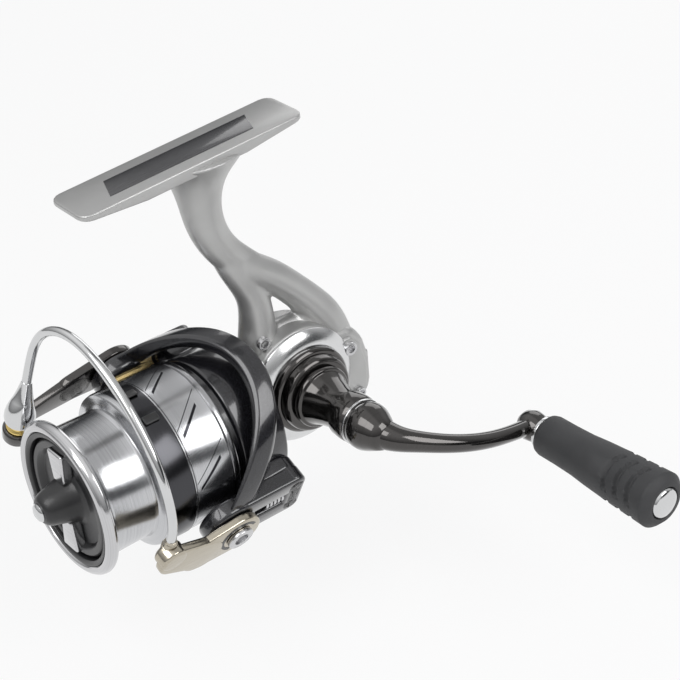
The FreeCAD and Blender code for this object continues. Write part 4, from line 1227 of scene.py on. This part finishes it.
@dataclass
class DragKnob:
    """The black drag knob with its silver bars, nose and cap."""

    back: float = 45.2
    face: float = 48.4
    nose: float = 57.0
    outer: float = 17.4
    thread: float = 4.6
    screw_hole: float = 1.7
    bar_start: float = 6.2
    bar_width: float = 7.0
    bar_taper: float = 0.72

    def build(self) -> None:
        """Builds the drag knob's pieces."""
        self.dial().publish("drag_dial", Body.DRAG, "knob_black", ("drag_knob",), 40)
        nose = self.nose
        cap = [*off((nose, 0), (-0.4, 0), (-0.4, 2.6), (0.2, 2.7), (0.7, 2.3), (1.1, 1.4), (1.2, 0))]
        Form.turned(cap, SHAFT, steps=64).publish("drag_cap", Body.DRAG, "chrome", ("drag_knob_cap",), 40)
        self.bars().publish("drag_bars", Body.DRAG, "chrome", ("drag_grip_bars",), finish=TURNED)

    def dial(self) -> Form:
        """Turns the dial, with a dish round the nose that its screw goes into."""
        back, face, outer, nose, hole = self.back, self.face, self.outer, self.nose, self.screw_hole
        dish = face - 1.7
        profile = [
            (back, self.thread), (back, outer - 0.4), (back + 0.5, outer), *off((face, outer), (-0.6, -0.1),
            (0, -0.7), (0, -2.4), (-0.5, -3)), (dish, outer - 3.6), (dish, 8.4), *off((face, 0), (-0.9, 7),
            (0.4, 6.4), (2.4, 5.9), (4.6, 5.3)), *off((nose, 0), (-2, 4.7), (-0.9, 4.1), (-0.2, 3.2)),
            (nose - 0.1, hole), (back + 3, hole), (back + 3, self.thread),
        ]
        return Form.turned(profile, SHAFT, True, SMOOTH_STEPS).softened(0.2, 3, 25)

    def bars(self) -> Form:
        """Makes the two raised grip bars that cross the dial and narrow towards the nose."""
        half, shaft, near = self.bar_width / 2, SHAFT_LINE.z, self.bar_start
        forms = []
        for side in (1, -1):
            first, last = sorted((near * side, (self.outer - 1.6) * side))
            bar = Form.box((self.face - 1.8, -half, shaft + first), (self.face + 1.7, half, shaft + last))
            for vert in bar.mesh.verts:
                if abs(vert.co.z - shaft) < near + 0.1:
                    vert.co.y *= self.bar_taper
            forms.append(bar.softened(0.7, 4, 40))
        return forms[0].joined(forms[1])


@dataclass(frozen=True)
class Lamp:
    """One soft square light, in metres and watts."""

    place: Place
    size: float
    power: float

    def hang(self, name: str, target: Vector) -> None:
        """Hangs the light so that it faces a point."""
        light = bpy.data.lights.new(name, "AREA")
        light.energy = self.power
        light.size = self.size
        thing = bpy.data.objects.new(name, light)
        thing.location = self.place
        thing.rotation_euler = (target - Vector(self.place)).to_track_quat("-Z", "Y").to_euler()
        bpy.context.scene.collection.objects.link(thing)


@dataclass
class Studio:
    """The floor, the soft lights, the pale surroundings and the camera, in metres."""

    floor_half: float = 3.0
    floor_tone: float = 0.86
    floor_glow: float = 0.85
    crank_room: float = 0.028
    sky_strength: float = 0.42
    sky_shade: float = 0.78
    side_shade: float = 0.4
    camera_place: Place = (0.2168, 0.3556, 0.2010)
    camera_target: Place = (-0.0137, 0.0435, -0.0427)
    camera_roll: float = -4.71
    focal_length: float = 95.29
    sensor: float = 36.0
    lamps: tuple[Lamp, ...] = (
        Lamp((0.55, 0.15, 0.65), 0.55, 3.2),
        Lamp((-0.3, 0.7, 0.45), 0.5, 3.2),
        Lamp((-0.65, -0.45, 0.3), 0.5, 1.1),
    )

    def build(self) -> None:
        """Builds the studio round the object, with the floor clear of the crank at its lowest."""
        low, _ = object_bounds()
        self.floor(low.z - self.crank_room)
        self.surroundings()
        for index, lamp in enumerate(self.lamps):
            lamp.hang(f"softbox_{index}", Vector(self.camera_target))
        self.camera()

    def seen(self, graph: Graph) -> Signal:
        """Gives 1 for rays that show the background, straight or mirrored."""
        path = graph.add("ShaderNodeLightPath")
        kinds = ("Is Camera Ray", "Is Glossy Ray", "Is Transmission Ray")
        straight, mirrored, through = (Signal(graph, path.outputs[kind]) for kind in kinds)
        return graph.clamped(straight + mirrored + through)

    def floor(self, height: float) -> None:
        """Lays the pale floor."""
        form = Form()
        bmesh.ops.create_grid(form.mesh, x_segments=1, y_segments=1, size=self.floor_half)
        bmesh.ops.translate(form.mesh, vec=(0, 0, height), verts=form.mesh.verts[:])
        mesh = bpy.data.meshes.new("floor")
        form.mesh.to_mesh(mesh)
        form.mesh.free()
        thing = bpy.data.objects.new("floor", mesh)
        bpy.context.scene.collection.objects.link(thing)
        thing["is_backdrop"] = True
        material = bpy.data.materials.new("pale_floor")
        material.use_nodes = True
        graph = Graph(material.node_tree)
        matt = graph.add("ShaderNodeBsdfDiffuse", {}, {"Color": opaque((self.floor_tone,) * 3)})
        glow = graph.add("ShaderNodeEmission", {}, {"Color": opaque((1, 1, 1)), "Strength": 1.0})
        shown = {0: self.seen(graph) * self.floor_glow, 1: matt.outputs[0], 2: glow.outputs[0]}
        graph.add("ShaderNodeOutputMaterial", {}, {0: graph.add("ShaderNodeMixShader", {}, shown).outputs[0]})
        mesh.materials.append(material)

    def surroundings(self) -> None:
        """Sets a soft even sky, which shows white behind the object and darker low down in its polish."""
        world = bpy.data.worlds.new("soft_room")
        bpy.context.scene.world = world
        world.use_nodes = True
        graph = Graph(world.node_tree)
        way = graph.add("ShaderNodeTexCoord").outputs["Generated"]
        split = graph.add("ShaderNodeSeparateXYZ", {}, {0: way})
        height = Signal(graph, split.outputs[2])
        aside = Signal(graph, split.outputs[0])
        glossy = Signal(graph, graph.add("ShaderNodeLightPath").outputs["Is Glossy Ray"])
        low_shade = (1 - height.rises(0.02, 0.75)) * self.sky_shade
        shade = low_shade + aside.between(-0.7, -0.3, 0.2) * self.side_shade
        colour = graph.mix(graph.clamped(shade) * glossy, opaque((1, 1, 1)), opaque(SKY_SHADOW))
        sky = {"Color": opaque((0.96, 0.97, 1.0)), "Strength": self.sky_strength}
        room = graph.add("ShaderNodeBackground", {}, sky)
        shown = graph.add("ShaderNodeBackground", {}, {"Color": colour, "Strength": 1.0})
        both = {0: self.seen(graph), 1: room.outputs[0], 2: shown.outputs[0]}
        graph.add("ShaderNodeOutputWorld", {}, {0: graph.add("ShaderNodeMixShader", {}, both).outputs[0]})

    def camera(self) -> None:
        """Sets the camera above the spool on the handle's side."""
        data = bpy.data.cameras.new("camera")
        data.lens = self.focal_length
        data.sensor_width = self.sensor
        data.clip_start = 0.01
        thing = bpy.data.objects.new("camera", data)
        place = Vector(self.camera_place)
        facing = (Vector(self.camera_target) - place).to_track_quat("-Z", "Y").to_matrix()
        roll = Matrix.Rotation(math.radians(self.camera_roll), 3, "Z")
        thing.matrix_world = Matrix.Translation(place) @ (facing @ roll).to_4x4()
        bpy.context.scene.collection.objects.link(thing)
        bpy.context.scene.camera = thing


def dress_nodes() -> None:
    """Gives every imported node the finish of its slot."""
    slots = {part["node"]: part["material_slot"] for part in frame["record"]["subparts"]}
    for name, thing in frame["nodes"].items():
        finish = SLOT_FINISHES[slots[name]]
        thing.data.materials.clear()
        thing.data.materials.append(material_of(finish))
        LOG.info("%s: finished as %s", name, finish.name)


def main() -> None:
    """Builds the reel's outer pieces and the studio."""
    logging.basicConfig(level=logging.INFO)
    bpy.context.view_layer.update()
    dress_nodes()
    for part in (Casting(), Covers(), Crank(), Grip(), RotorShell(), Bail(), Spool(), DragKnob()):
        part.build()
    Studio().build()
    bpy.context.scene.view_settings.view_transform = "Standard"


if __name__ == "__main__":
    main()
